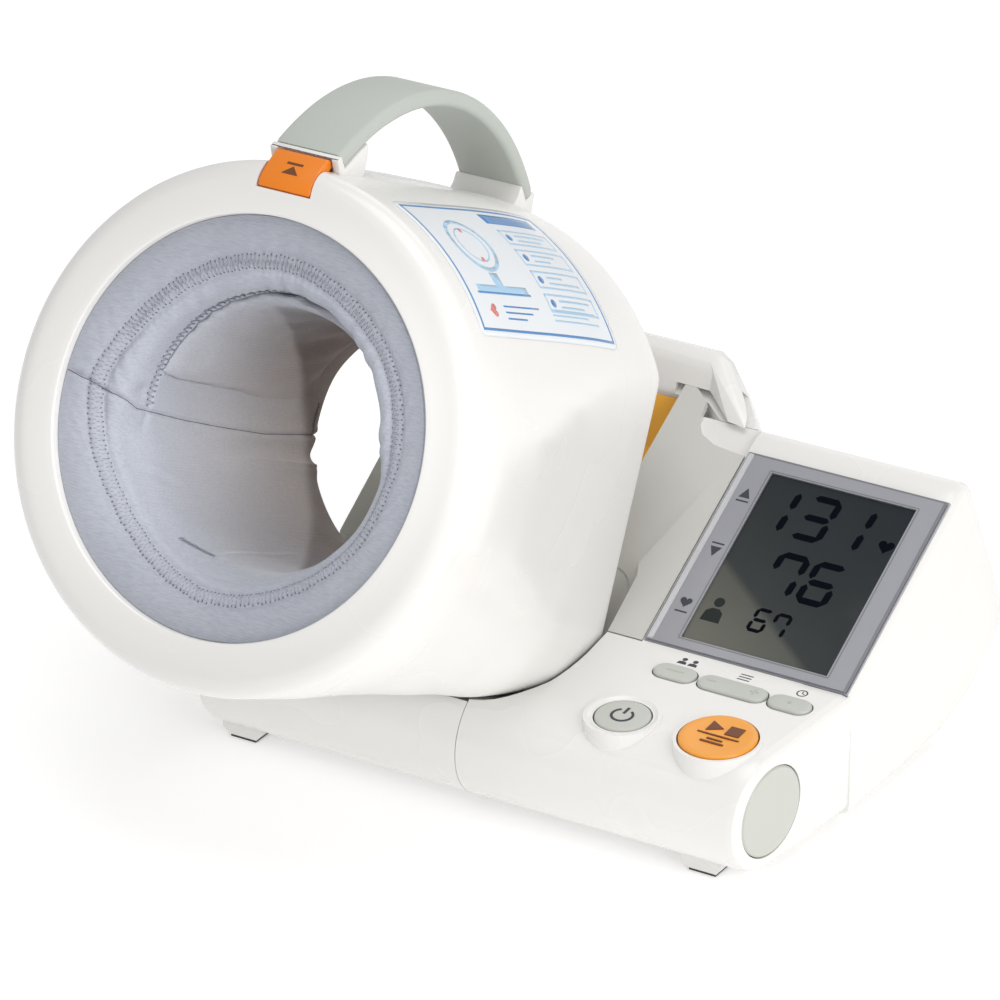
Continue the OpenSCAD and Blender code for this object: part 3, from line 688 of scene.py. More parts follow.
nu, nv = 40, 62
pt, pb = [], []
for i in range(nu):
    for j in range(nv):
        u, v = 57 * i / (nu - 1), 90 * j / (nv - 1)
        # rounded corners
        cu, cv = min(u, 57 - u), min(v, 90 - v)
        if cu < 3 and cv < 3 and math.hypot(3 - cu, 3 - cv) > 3:
            k = 3 / math.hypot(3 - cu, 3 - cv)
            nu_, nv_ = 3 - (3 - cu) * k, 3 - (3 - cv) * k
            u = nu_ if u < 28 else 57 - nu_
            v = nv_ if v < 45 else 90 - nv_
        pt.append(lab(u, v, 0.26))
        pb.append(lab(u, v, 0.02))
n = nu * nv
ft = grid_faces(nu, nv)
f = list(ft) + [tuple(n + k for k in reversed(q)) for q in ft]
edge = [(i, 0) for i in range(nu)] + [(nu - 1, j) for j in range(1, nv)] + [(i, nv - 1) for i in range(nu - 2, -1, -1)] + [(0, j) for j in range(nv - 2, 0, -1)]
idx = [i * nv + j for i, j in edge]
f += [(idx[k], idx[(k + 1) % len(idx)], n + idx[(k + 1) % len(idx)], n + idx[k]) for k in range(len(idx))]
film = obj("label_sheet", pt + pb, f, FILM, "cuff_drum")
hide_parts("guide_label")


def lab_shapes(name, polys, m, h=0.3):
    """printed shapes, cut into short spans so that they follow the curve"""
    v, f = [], []
    for p in polys:
        bm = bmesh.new()
        vs = [bm.verts.new((a, b, 0)) for a, b in p]
        bm.faces.new(vs)
        for ax, lo, hi, step in ((0, 0, 57, 3.0), (1, 0, 90, 6.0)):
            k = lo + step
            while k < hi:
                co = Vector((k, 0, 0)) if ax == 0 else Vector((0, k, 0))
                no = Vector((1, 0, 0)) if ax == 0 else Vector((0, 1, 0))
                bmesh.ops.bisect_plane(bm, geom=list(bm.verts) + list(bm.edges) + list(bm.faces), plane_co=co, plane_no=no)
                k += step
        bm.verts.index_update()
        base = len(v)
        nb = len(bm.verts)
        v += [lab(q.co.x, q.co.y, h) for q in bm.verts] + [lab(q.co.x, q.co.y, 0.1) for q in bm.verts]
        for fc in bm.faces:
            ids = [q.index for q in fc.verts]
            f.append(tuple(base + k for k in ids))
            f.append(tuple(base + nb + k for k in reversed(ids)))
        for e in bm.edges:
            if len(e.link_faces) == 1:
                a, b = (q.index for q in e.verts)
                f.append((base + a, base + b, base + nb + b, base + nb + a))
        bm.free()
    return obj(name, v, f, m, "cuff_drum")


def frame_rect(u0, v0, u1, v1, t):
    return [bar(u0, v0 + t / 2, u1, v0 + t / 2, t), bar(u0, v1 - t / 2, u1, v1 - t / 2, t), bar(u0 + t / 2, v0 + t, u0 + t / 2, v1 - t, t), bar(u1 - t / 2, v0 + t, u1 - t / 2, v1 - t, t)]


blue = frame_rect(2.0, 2.0, 55.0, 88.0, 0.9)
blue += [[(4.5, 48.0), (4.5, 82.0), (9.4, 82.0), (9.4, 48.0)]]
pale, red, ink = [], [], []
for k, (a, b) in enumerate(((12.5, 50), (21.5, 50), (30.5, 50), (39.5, 50))):
    pale += frame_rect(a, b, a + 7.0, b + 33, 0.7)
    blue += [disc(a + 3.5, b + 4.0, 1.5, 20)]
    for q in (0, 1):
        pale += [bar(a + 2.4 + 2.3 * q, b + 8.5, a + 2.4 + 2.3 * q, b + (29 - 5 * ((k + q) % 3)), 0.75)]
# pictogram: a ring on a stand with an arm-like bar through it
pale += ring_strip(21, 24, 11.5, 9.9, 0, 360, 40)
pale += ring_strip(21, 24, 7.6, 7.0, 0, 360, 30)
pale += [[(38, 9), (38, 40), (41.5, 40), (41.5, 9)], bar(33, 24, 38, 24, 5.0)]
blue += [bar(41, 8, 41, 41, 0.7)]
red += [heart(47.5, 13, 2.4), disc(14.6, 24, 0.9, 16), disc(27.4, 24, 0.9, 16)]
for k in range(4):
    pale += [bar(45.6 + 1.9 * k, 50, 45.6 + 1.9 * k, 80 - 6 * (k % 2), 0.6)] if k < 3 else []
for i in range(3):
    blue += [bar(45.8 + 2.2 * i, 20, 45.8 + 2.2 * i, 42 - 5 * i, 0.6)]
lab_shapes("label_print_blue", blue, BLUE, 0.32)
lab_shapes("label_print_pale", pale, PALE, 0.31)
lab_shapes("label_print_red", red, RED, 0.33)

# ------------------------------------------------------------------ cuff fabric
def gs(x, k):
    return np.exp(-(x / k) ** 2)


def gauss(x, k):
    return math.exp(-(x / k) ** 2)


def ease(x, a, b):
    q = np.clip((x - a) / (b - a), 0, 1)
    return q * q * (3 - 2 * q)


# outline of the cloth from the mouth to the far end, (radius, station): over the top, and round the bottom
UP = np.array([(68.45, 3.0), (66.5, 3.0), (63, 3.5), (60, 4.4), (57.4, 5.7), (55.4, 7.0), (54.0, 7.8), (52.2, 8.1), (50.2, 9.2), (48.2, 12.0), (46.4, 15.8), (45.1, 19.4), (44.9, 23.0),
               (44.8, 30), (44.5, 45), (44.1, 65), (43.7, 85), (43.3, 105), (43.0, 120), (43.6, 127.5)], float)
LOW = np.array([(68.45, 3.0), (66.5, 3.0), (63, 3.4), (60, 4.2), (57.4, 5.4), (55.6, 6.8), (54.2, 7.9), (52.6, 9.2), (50.8, 11.2), (49.0, 14.2), (47.4, 17.8), (46.3, 21.6), (45.6, 26),
                (45.2, 32), (44.8, 46), (44.4, 65), (44.0, 85), (43.6, 105), (43.3, 120), (43.9, 127.5)], float)
NP = 512
QI = np.concatenate([np.linspace(0, 12.5, 92)[:-1], np.linspace(12.5, 19, 66)])
NQ = len(QI)
kx = np.arange(20, dtype=float)
UPF = np.array([pchip(kx, UP, float(q)) for q in QI])
LOWF = np.array([pchip(kx, LOW, float(q)) for q in QI])
PC = (np.arange(NP) * 360.0 / NP + 180) % 360 - 180          # angle of each column, -180..180
UPW = 1 - ease(np.abs(PC + 4), 84, 104)                       # 1 over the top, 0 below
RB = UPW[:, None] * UPF[None, :, 0] + (1 - UPW[:, None]) * LOWF[None, :, 0]
SB = UPW[:, None] * UPF[None, :, 1] + (1 - UPW[:, None]) * LOWF[None, :, 1]
LB = np.concatenate([np.zeros((NP, 1)), np.cumsum(np.hypot(np.diff(RB, axis=1), np.diff(SB, axis=1)), axis=1)], axis=1)
dRq, dSq = np.gradient(RB, axis=1), np.gradient(SB, axis=1)
dL = np.hypot(dRq, dSq)
NRM_R, NRM_S = -dSq / dL, dRq / dL                            # towards the arm and the viewer
seam_ang = np.array([-180, -176, -159, -142, -126, -109, -99.6, -90, -85, -82, -69, -51, -31, -14, 1, 15, 30, 42, 52, 90, 138, 149, 167, 180], float)
seam_rad = np.array([55.1, 55.2, 53.8, 52.9, 53.3, 55.4, 56.4, 57.6, 57.8, 57.2, 55.2, 53.6, 53.5, 54.1, 54.4, 54.2, 53.9, 54.6, 55.4, 55.0, 54.1, 53.5, 54.7, 55.1])
RO = np.interp(PC, seam_ang, seam_rad)
L_OUT = np.array([np.interp(-RO[i], -RB[i, :60], LB[i, :60]) for i in range(NP)])
L_IN = np.array([np.interp(19.6, SB[i, 40:], LB[i, 40:]) for i in range(NP)])
SEAM_S = np.array([3, 4, 6, 15, 42, 66, 94, 128], float)
SEAM_P = np.array([-86.2, -87, -88.5, -94, -96.6, -98, -99, -97], float)
PP, SP = PC[:, None], np.interp(SB.ravel(), SEAM_S, SEAM_P).reshape(SB.shape)
LO, LI = LB - L_OUT[:, None], LB - L_IN[:, None]
mid = (L_IN - L_OUT)[:, None]
arc = np.radians(PP) * RB
nn = 2.0 * UPW[:, None] * gs(LO - mid * 0.5, mid * 0.33)
nn += 0.5 * (1 - UPW[:, None]) * gs(LO - 6.0, 3.0)
nn -= 0.75 * gs(LO - 2.9, 1.0) + 0.65 * gs(LO + 2.8, 1.0) - 0.35 * gs(LO, 2.0)
nn += 0.16 * np.sin(arc * 2 * math.pi / 2.6 + 1.3 * np.sin(arc * 0.31)) * (gs(LO - 3.3, 1.8) + gs(LO + 3.2, 1.8)) * (0.6 + 0.4 * np.sin(arc * 0.11 + 1))
nn += 0.35 * np.sin(arc * 0.62 + 2.0 * np.sin(arc * 0.17)) * (gs(LO + 6, 4.5) * 0.35 + gs(LO - 8, 5.0) * 0.8 * UPW[:, None])
inr = UPW[:, None] * (1 - ease(PP, 58, 80))
nn -= 1.25 * inr * gs(LI, 1.35)
nn += 0.22 * inr * np.sin(arc * 2 * math.pi / 3.1) * gs(LI + 2.2, 1.6)
d = (PP - SP) * math.pi / 180 * RB
nn += -0.95 * gs(d, 0.55) + 0.45 * gs(d - 1.6, 1.3) * (d > 0) + 0.25 * gs(d + 1.6, 1.2) * (d < 0)
nn -= 1.5 * gs(PP + 86.5, 2.6) * gs(LI + 4.6, 3.2)             # hollow where the inner seam ends
far = ease(SB, 52, 92)
nn += -1.5 * gs(PP + 106.0, 3.6) * far + 0.9 * gs(PP + 110.6, 0.9) * far + 0.7 * gs(PP + 113.0, 2.6) * far
nn += 0.55 * gs(PP + 116 + 0.35 * (SB - 20), 1.3) * gs(SB - 27, 8) - 0.4 * gs(PP + 119 + 0.35 * (SB - 20), 2.0) * gs(SB - 27, 8)
low = (PC % 360)[:, None]
nn += 0.7 * gs(low - 197 - 0.05 * (SB - 50), 1.3) * gs(SB - 52, 22) - 0.45 * gs(low - 200.2 - 0.05 * (SB - 50), 2.2) * gs(SB - 52, 22)
nn += 0.8 * gs(low - 190 - 0.5 * (SB - 24), 1.9) * gs(SB - 24, 6) - 0.6 * gs(low - 193.5 - 0.5 * (SB - 24), 2.2) * gs(SB - 24, 6)
rng = np.random.RandomState(7)
rip = np.zeros_like(nn)
for _ in range(12):
    k, f0, p0, q0 = rng.randint(3, 14), rng.uniform(0.03, 0.16), rng.uniform(0, 6.28), rng.uniform(0, 6.28)
    rip += np.sin(np.radians(PP) * k + p0 + 1.1 * np.sin(f0 * SB + q0) + f0 * SB)
nn += 0.055 * rip * np.clip(LB / 10, 0, 1)
nn *= np.clip(LB / 3.0, 0, 1)
RC2, SC2 = RB + nn * NRM_R, SB + nn * NRM_S
xs = XD + RC2 * np.sin(np.radians(PP))
ts = RC2 * np.cos(np.radians(PP))
BACK = np.clip(LB / 30, 0, 1)
RBK = RB + 0.35 + 2.6 * BACK
SBK = SB + 2.2 * (1 - BACK) + 0.3


def polar_points(R1, S1):
    out = []
    for i in range(NP):
        a = math.radians(PC[i])
        sa, ca = math.sin(a), math.cos(a)
        out += [dr(R1[i, j] * sa, S1[i, j], R1[i, j] * ca) for j in range(NQ)]
    return out


n = NP * NQ
f = grid_faces(NP, NQ, close_u=True)
f2 = list(f) + [tuple(n + k for k in reversed(q)) for q in f]
for i in range(NP):
    for j in (0, NQ - 1):
        a, b = i * NQ + j, ((i + 1) % NP) * NQ + j
        f2.append((a, b, n + b, n + a))
cloth = obj("cuff_lining_cloth", polar_points(RC2, SC2) + polar_points(RBK, SBK), f2, FABRIC, "cuff_drum")
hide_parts("cuff_front_lining", "cuff_cushion")


def on_cloth(phi, off, ref="out", lift=0.12, station=None):
    """a point on the cloth: off mm further in than the outer seam, the inner seam, or at a station"""
    g = (phi % 360) / 360 * NP
    i0 = int(g) % NP
    w1 = g - int(g)
    acc = Vector((0, 0, 0))
    for i, wt in ((i0, 1 - w1), ((i0 + 1) % NP, w1)):
        if station is not None:
            L = np.interp(station, SB[i, 30:], LB[i, 30:])
        else:
            L = (L_OUT if ref == "out" else L_IN)[i] + off
        r, q = np.interp(L, LB[i], RC2[i]), np.interp(L, LB[i], SC2[i])
        nr, ns = np.interp(L, LB[i], NRM_R[i]), np.interp(L, LB[i], NRM_S[i])
        acc += wt * Vector((float(r + lift * nr), float(q + lift * ns), 0))
    return dp(phi, acc[1], acc[0])


# rear lining
RC = np.array([(55.5, 136.8), (54.0, 136.2), (52.0, 134.2), (50.2, 131.0), (48.6, 127.0), (47.4, 122.5), (46.9, 117.5), (47.2, 114.5)], float)
RL = np.r_[0, np.cumsum(np.hypot(*np.diff(RC, axis=0).T))]
vt, vb = [], []
NR = 26
for i in range(240):
    phi = 360 * i / 240
    for j in range(NR):
        v = pchip(RL, RC, RL[-1] * j / (NR - 1))
        pk = 0.16 * math.sin(math.radians(phi) * 48) * gauss(j - 9, 4)
        vt.append(dp(phi, v[1] + pk, v[0] - 0.3 * gauss(j - 14, 5)))
        vb.append(dp(phi, v[1] - 1.2 * (1 - j / NR), v[0] + (0.0 if j == 0 else 1.6)))
f = grid_faces(240, NR, close_u=True)
n = 240 * NR
f2 = list(f) + [tuple(n + k for k in reversed(q)) for q in f]
for i in range(240):
    for j in (0, NR - 1):
        a, b = i * NR + j, ((i + 1) % 240) * NR + j
        f2.append((a, b, n + b, n + a))
rearc = obj("cuff_rear_cloth", vt + vb, f2, FABRIC, "cuff_drum")
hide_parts("cuff_rear_lining")


# upper cushion: a closed curved pad, blown up by a short cloth simulation
def pad_mesh(p0, p1, s0, s1, ro, ri, np_, ns_, edge):
    outer, innr = [], []
    for i in range(np_):
        a = i / (np_ - 1)
        for j in range(ns_):
            b = j / (ns_ - 1)
            pe = p0(b) + (p1(b) - p0(b)) * a
            sp = s0 + (s1 - s0) * b
            outer.append(dp(pe, sp, ro))
            k = min(1.0, min(a, 1 - a) * (np_ - 1) / edge) * min(1.0, min(b, 1 - b) * (ns_ - 1) / edge)
            innr.append(dp(pe, sp, ro - (ro - ri) * (0.55 + 0.45 * math.sin(k * math.pi / 2))))
    n = np_ * ns_
    f = grid_faces(np_, ns_)
    ff_ = list(f) + [tuple(n + k for k in reversed(q)) for q in f]
    ed = [(i, 0) for i in range(np_)] + [(np_ - 1, j) for j in range(1, ns_)] + [(i, ns_ - 1) for i in range(np_ - 2, -1, -1)] + [(0, j) for j in range(ns_ - 2, 0, -1)]
    ix = [i * ns_ + j for i, j in ed]
    ff_ += [(ix[k], ix[(k + 1) % len(ix)], n + ix[(k + 1) % len(ix)], n + ix[k]) for k in range(len(ix))]
    return outer + innr, ff_


def blow(ob, cap, pressure=4.0, voxel=0.0021, rmin=38.0, rmax=44.9):
    """remesh, inflate with Cloth, cap each move, apply, then smooth"""
    bpy.context.view_layer.objects.active = ob
    rm = ob.modifiers.new("remesh", "REMESH")
    rm.mode, rm.voxel_size, rm.use_smooth_shade = "VOXEL", voxel, True
    apply_mods(ob)
    start = np.zeros(len(ob.data.vertices) * 3)
    ob.data.vertices.foreach_get("co", start)
    start = start.reshape(-1, 3)
    end = start.copy()
    cl = ob.modifiers.new("Cloth", "CLOTH")
    cl.settings.quality = 6
    cl.settings.mass = 0.25
    cl.settings.use_pressure = True
    cl.settings.uniform_pressure_force = pressure
    cl.settings.tension_stiffness = 12
    cl.settings.compression_stiffness = 10
    cl.settings.shear_stiffness = 6
    cl.settings.bending_stiffness = 0.6
    cl.settings.effector_weights.gravity = 0
    cl.collision_settings.use_self_collision = False
    cl.collision_settings.use_collision = False
    sc = bpy.context.scene
    for fr in range(1, 21):
        sc.frame_set(fr)
    dg = bpy.context.evaluated_depsgraph_get()
    me = ob.evaluated_get(dg).to_mesh()
    end = np.zeros(len(me.vertices) * 3)
    me.vertices.foreach_get("co", end)
    end = end.reshape(-1, 3)
    ob.evaluated_get(dg).to_mesh_clear()
    ob.modifiers.clear()
    sc.frame_set(1)
    mv = end - start
    L = np.linalg.norm(mv, axis=1, keepdims=True)
    mv *= np.minimum(1.0, cap / np.maximum(L, 1e-9))
    co = start + mv
    # keep the pad in its own space between the lining and the arm
    o = np.array(dr(0, 0, 0))
    A = np.array([0, CA, -SA])
    V = np.array([0, SA, CA])
    for k in range(len(co)):
        d = co[k] - o
        s, t, x = d @ A, d @ V, d[0]
        r = math.hypot(x, t)
        q = min(max(r, rmin / 1000), rmax / 1000) / max(r, 1e-9)
        co[k] = o + A * s + V * (t * q) + np.array([x * q, 0, 0])
    ob.data.vertices.foreach_set("co", co.ravel())
    ob.data.update()
    sm = ob.modifiers.new("relax", "SMOOTH")
    sm.factor, sm.iterations = 0.5, 3
    apply_mods(ob)
    ob.data.polygons.foreach_set("use_smooth", [True] * len(ob.data.polygons))
    sd = ob.modifiers.new("subdivision", "SUBSURF")
    sd.levels = sd.render_levels = 1


PADS0, PADS1 = 20.4, 120.0
p_lo = lambda b: float(np.interp(PADS0 + b * (PADS1 - PADS0), [18, 30, 45, 65, 85, 103, 122], [-78.5, -81, -82.5, -84.6, -86.2, -85.4, -81]))
p_hi = lambda b: 84.0
v, f = pad_mesh(p_lo, p_hi, PADS0, PADS1, 45.2, 41.0, 110, 60, 3.0)
pad = obj("cuff_upper_pad", v, f, FABRIC_IN, "cuff_drum")
blow(pad, 0.005)


# stitches, with painted shadow and painted shade marks along the seams
def thread(name, lines, rad, m, cyclic=False):
    cu = bpy.data.curves.new(name, "CURVE")
    cu.dimensions = "3D"
    cu.bevel_depth = rad / 1000
    cu.bevel_resolution = 1
    cu.use_fill_caps = True
    for pts in lines:
        sp = cu.splines.new("POLY")
        sp.points.add(len(pts) - 1)
        for k, p in enumerate(pts):
            sp.points[k].co = (*p, 1)
        sp.use_cyclic_u = cyclic
    cu.materials.append(m)
    ob = bpy.data.objects.new(name, cu)
    bpy.context.scene.collection.objects.link(ob)
    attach(ob, "cuff_drum")
    return ob


# outer seam: the zigzag is real thread; dashes at its corners are painted shadow in the needle holes, and dashes
# between its legs are painted shade in the seam's groove
nz = 228
zig, hole_shadows, groove_shades = [], [], []
for k in range(nz * 2):
    phi = 360 * (k + 0.18 * math.sin(k * 2.3)) / (nz * 2)
    off = (1.9 if k % 2 else -1.9) + 0.22 * math.sin(k * 1.7) + 0.14 * math.sin(k * 0.37)
    zig.append(on_cloth(phi, off, lift=0.2))
    e = 0.55 if k % 2 else -0.55
    hole_shadows.append([on_cloth(phi - 0.12, off + e * 0.3, lift=0.05), on_cloth(phi + 0.12, off + e, lift=0.02)])
    mid_ = 0.9 if k % 2 else -0.9
    groove_shades.append([on_cloth(phi, off - mid_ * 0.9, lift=-0.02), on_cloth(phi, off - mid_ * 1.9, lift=-0.02)])
thread("stitch_outer_zigzag", [zig], 0.25, THREAD, cyclic=True)
thread("stitch_outer_hole_shadows", hole_shadows, 0.2, THREAD_SHADOW)
thread("outer_seam_groove_shade", groove_shades, 0.16, THREAD_SHADE)
# inner seam: the zigzag uses the painted-shade thread colour, since it lies in shade; its hole dashes are painted
# shadow
m0, m1, nk = -92.0, 60.0, 128
zig, hole_shadows = [], []
for k in range(nk):
    phi = m0 + (m1 - m0) * k / (nk - 1)
    off = (1.3 if k % 2 else -1.3) + 0.16 * math.sin(k * 1.3)
    zig.append(on_cloth(phi, off, "in", 0.14))
    hole_shadows.append([on_cloth(phi - 0.25, off, "in", 0.05), on_cloth(phi + 0.25, off * 1.35, "in", 0.03)])
thread("stitch_inner_zigzag", [zig], 0.2, THREAD_SHADE)
thread("stitch_inner_hole_shadows", hole_shadows, 0.26, THREAD_SHADOW)
# long seam: a painted shadow line where the upper cloth overlaps the lower cloth
line = [on_cloth(float(np.interp(q, SEAM_S, SEAM_P)), 0, lift=0.06, station=q) for q in np.concatenate([np.linspace(8.0, 30, 40), np.linspace(32, 126, 70)])]
k0 = int(round((-87.2 % 360) / 360 * NP)) % NP
front = [on_cloth(float(np.interp(q, [0, 14], [-86.3, -88.6])), float(q) - L_OUT[k0], lift=0.06) for q in np.linspace(0.5, L_OUT[k0] - 0.5, 24)]
thread("long_seam_painted_shadow", [front + line], 0.15, THREAD_SHADOW)
# short stitched patches low in the mouth and at the far end
tack = [on_cloth(-164.5 + 14.0 * k / 29, 0, lift=0.25, station=25.5 - 6.0 * k / 29 + (1.0 if k % 2 else -1.0)) for k in range(30)]
tack2 = [on_cloth(-82.5 - 15.0 * k / 25, 0, lift=0.15, station=124.0 + (0.9 if k % 2 else -0.9)) for k in range(26)]
thread("stitch_patches", [tack, tack2], 0.2, THREAD_SHADE)

# ------------------------------------------------------------------ base nodes
for nme in ("control_housing", "cradle_housing", "rear_shoulder", "foot_blocks"):
    finish_node(nme, WHITE)
for nme in ("rear_bezel", "hinge_arms"):
    finish_node(nme, WHITE_IN)
for nme in ("control_bottom_cover", "cradle_bottom_cover", "battery_cover"):
    finish_node(nme, COVER)
finish_node("side_panel", PANEL)
finish_node("elbow_rest", REST)
finish_node("elbow_tray", TRAY)
finish_node("display_frame", LENS)
finish_node("lcd_module", WHITE_IN)
for nme in ("main_board", "key_board"):
    finish_node(nme, BOARD)
finish_node("end_cap", DISC)
finish_node("rubber_feet", RUBBER)
finish_node("batteries", CELL)
for nme in ("battery_contacts", "hinge_brackets", "hinge_pins", "base_screws", "drum_screws", "air_pump"):
    finish_node(nme, STEEL)
for nme in ("dc_socket", "buzzer", "exhaust_valve", "pressure_sensor"):
    finish_node(nme, BLACK)
for nme in ("air_hose", "drum_hose"):
    finish_node(nme, HOSE)
finish_node("hinge_bushes", BUSH)
finish_node("cuff_sleeve", SLEEVE)
finish_node("air_bladder", BLADDER)


# ------------------------------------------------------------------ wall of the base that follows the drum's path
bm = bmesh.new()
for k in (2, 4, 5, 7):
    s0 = DS[k][0] + (1.2 if k == 7 else 0)
    for j in range(0, NPHI, 3):
        a, r = math.radians(PHI[j]), SEC[k][j] + 1.75
        q = dr(r * math.sin(a), s0 + (0.45 if k == 7 else 0), r * math.cos(a))
        for tip in (0, -20):
            c, n_ = math.cos(math.radians(tip)), math.sin(math.radians(tip))
            y, z = q.y - (62 + OY) / 1000, q.z - 0.025
            bm.verts.new((q.x, (62 + OY) / 1000 + y * c - z * n_, 0.025 + y * n_ + z * c))
g = bmesh.ops.convex_hull(bm, input=bm.verts)
bmesh.ops.delete(bm, geom=[e for e in bm.verts if not e.link_faces], context="VERTS")
up = Vector((0, -S30, C30))
for co_, no_ in ((w(-104.1, 0, 0), Vector((-1, 0, 0))), (w(-73.2, 0, 0), Vector((1, 0, 0))), (slope(0, 0, -1.75), up), (w(0, 0, 6), Vector((0, 0, -1))), (w(0, 42.4, 0), Vector((0, -1, 0))), (w(0, 118, 0), Vector((0, 1, 0)))):
    bmesh.ops.bisect_plane(bm, geom=list(bm.verts) + list(bm.edges) + list(bm.faces), plane_co=co_, plane_no=no_, clear_outer=True)
bm.normal_update()
me = bpy.data.meshes.new("base_drum_wall")
bm.to_mesh(me)
bm.free()
me.materials.append(PANEL)
wall = bpy.data.objects.new("base_drum_wall", me)
bpy.context.scene.collection.objects.link(wall)
sd = wall.modifiers.new("thickness", "SOLIDIFY")
sd.thickness, sd.offset = 0.0008, 1.0
apply_mods(wall)
auto_smooth(wall)
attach(wall, "base")

# ------------------------------------------------------------------ keys
def pill_loop(wd, ht, off, n=14):
    r = ht / 2 + off
    c = (wd - ht) / 2
    p = []
    for sx, a0 in ((1, -90), (-1, 90)):
        for i in range(n + 1):
            a = math.radians(a0 + 180 * i / n)
            p.append((sx * c + r * math.cos(a), r * math.sin(a)))
    return p


def key_mesh(name, x, y, wd, ht, z0, z1, rnd, dome, m, body):
    loops = []
    for z, off in ((z0, 0.0), (z1 - rnd - 1.2, 0.0)):
        loops.append((z, off, 0))
    for i in range(6):
        a = math.radians(90 * i / 5)
        loops.append((z1 - rnd + rnd * math.sin(a), -rnd * (1 - math.cos(a)), 0))
    for k in range(1, 6):
        q = k / 6
        off = -rnd - (ht / 2 - rnd) * q * 0.98
        loops.append((z1 + dome * (1 - (1 - q) ** 2), off, 1))
    L = [[deck(x, y, a, b, z) for a, b in pill_loop(wd, ht, off)] for z, off, _ in loops]
    return solid_loft(name, L, m, body)


k = key_mesh("start_key_cap", -19.4, -0.9, 26.2, 26.2, -7.4, 1.9, 0.9, -0.35, START, "start_key")
auto_smooth(k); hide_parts("start_key")
k = key_mesh("power_key_cap", -54.2, -2.3, 18.8, 18.8, -7.4, 0.6, 0.8, 0.25, KEY, "power_key")
auto_smooth(k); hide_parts("power_key")
for nme, x, wd in (("recall_key", -52.3, 15.5), ("memory_key", -30.7, 25.4), ("print_key", -9.4, 15.5)):
    k = key_mesh(nme + "_cap", x, 28.5, wd, 8.5, -7.4, 1.1, 0.9, 0.15, KEY, nme)
    auto_smooth(k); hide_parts(nme)

S = lambda x, y: (lambda a, b, h: deck(x, y, a, b, h))
flat_patch("start_mark", [[(-5.6, 1.6), (-5.6, 7.6), (-0.4, 4.6)], [(1.2, 1.9), (6.4, 1.9), (6.4, 7.1), (1.2, 7.1)], bar(-7.6, 0, 7.6, 0, 0.6)] + [bar(-4.2, -4.4, 4.2, -4.4, 0.9), bar(-2.8, -2.4, 2.8, -2.4, 0.7)],
           S(-19.4, -0.9), BROWN, "start_key", 1.2, 1.93)
flat_patch("power_mark", ring_strip(0, -0.4, 4.0, 3.1, 122, 418) + [bar(0, 0.6, 0, 4.4, 0.95)], S(-54.2, -2.3), INK, "power_key", 0.3, 0.94)
flat_patch("recall_mark", [bar(-3.2, 0, 3.2, 0, 0.7)], S(-52.3, 28.5), EMBOSS, "recall_key", 0.9, 1.36)
flat_patch("memory_mark", [bar(-9.6, 0.2, -6.4, 0.2, 0.7), bar(6.4, 0.2, 9.6, 0.2, 0.7), bar(8.0, 0.2 - 1.6, 8.0, 0.2 - 0.35, 0.7), bar(8.0, 0.2 + 0.35, 8.0, 1.8, 0.7)], S(-30.7, 28.5), EMBOSS, "memory_key", 0.9, 1.36)
flat_patch("print_mark", [disc(0, 0, 0.8, 16)], S(-9.4, 28.5), EMBOSS, "print_key", 0.9, 1.36)
# printed signs behind the oblong keys: two heads, a page, a clock
sg = [disc(-53.9, 37.9, 0.95, 18), [(-55.6, 34.9), (-52.2, 34.9), (-52.5, 36.3), (-53.9, 36.8), (-55.3, 36.3)], disc(-49.9, 37.9, 0.95, 18), [(-51.6, 34.9), (-48.2, 34.9), (-48.5, 36.3), (-49.9, 36.8), (-51.3, 36.3)]]
sg += [bar(-33, 35.4, -28.4, 35.4, 0.55), bar(-33, 36.9, -28.4, 36.9, 0.55), bar(-33, 38.4, -28.4, 38.4, 0.55)]
sg += ring_strip(-9.4, 36.9, 2.0, 1.5, 0, 360, 24) + [bar(-9.4, 36.9, -9.4, 38.1, 0.4), bar(-9.4, 36.9, -8.4, 36.5, 0.4)]
flat_patch("deck_signs", sg, lambda a, b, h: w(a, b - h * math.sin(DD), 24.5 + 20.94 + (b + 1.6) * DK + h * math.cos(DD)), INK, "base", -0.25, 0.04)

# ------------------------------------------------------------------ display
LX, LV = -72.0 + 12.1, 0.8 + 4.4


def lcd(u, v, h):
    return slope(LX + u, LV + v, h)


def rounded(u0, v0, u1, v1, r, n=6):
    p = []
    for cx, cy, a0 in ((u1 - r, v1 - r, 0), (u0 + r, v1 - r, 90), (u0 + r, v0 + r, 180), (u1 - r, v0 + r, 270)):
        for i in range(n + 1):
            a = math.radians(a0 + 90 * i / n)
            p.append((cx + r * math.cos(a), cy + r * math.sin(a)))
    return p


win = extrude("display_window_pane", rounded(0.05, 0.05, 54.75, 69.75, 1.5), lcd, -0.9, 0.30, LCD, "base", bevel=0.25, segs=2)
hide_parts("display_window")

SEGS = {"0": "abcdef", "1": "bc", "2": "abged", "3": "abgcd", "4": "fgbc", "5": "afgcd", "6": "afgedc", "7": "fabc", "8": "abcdefg", "9": "abcdfg"}


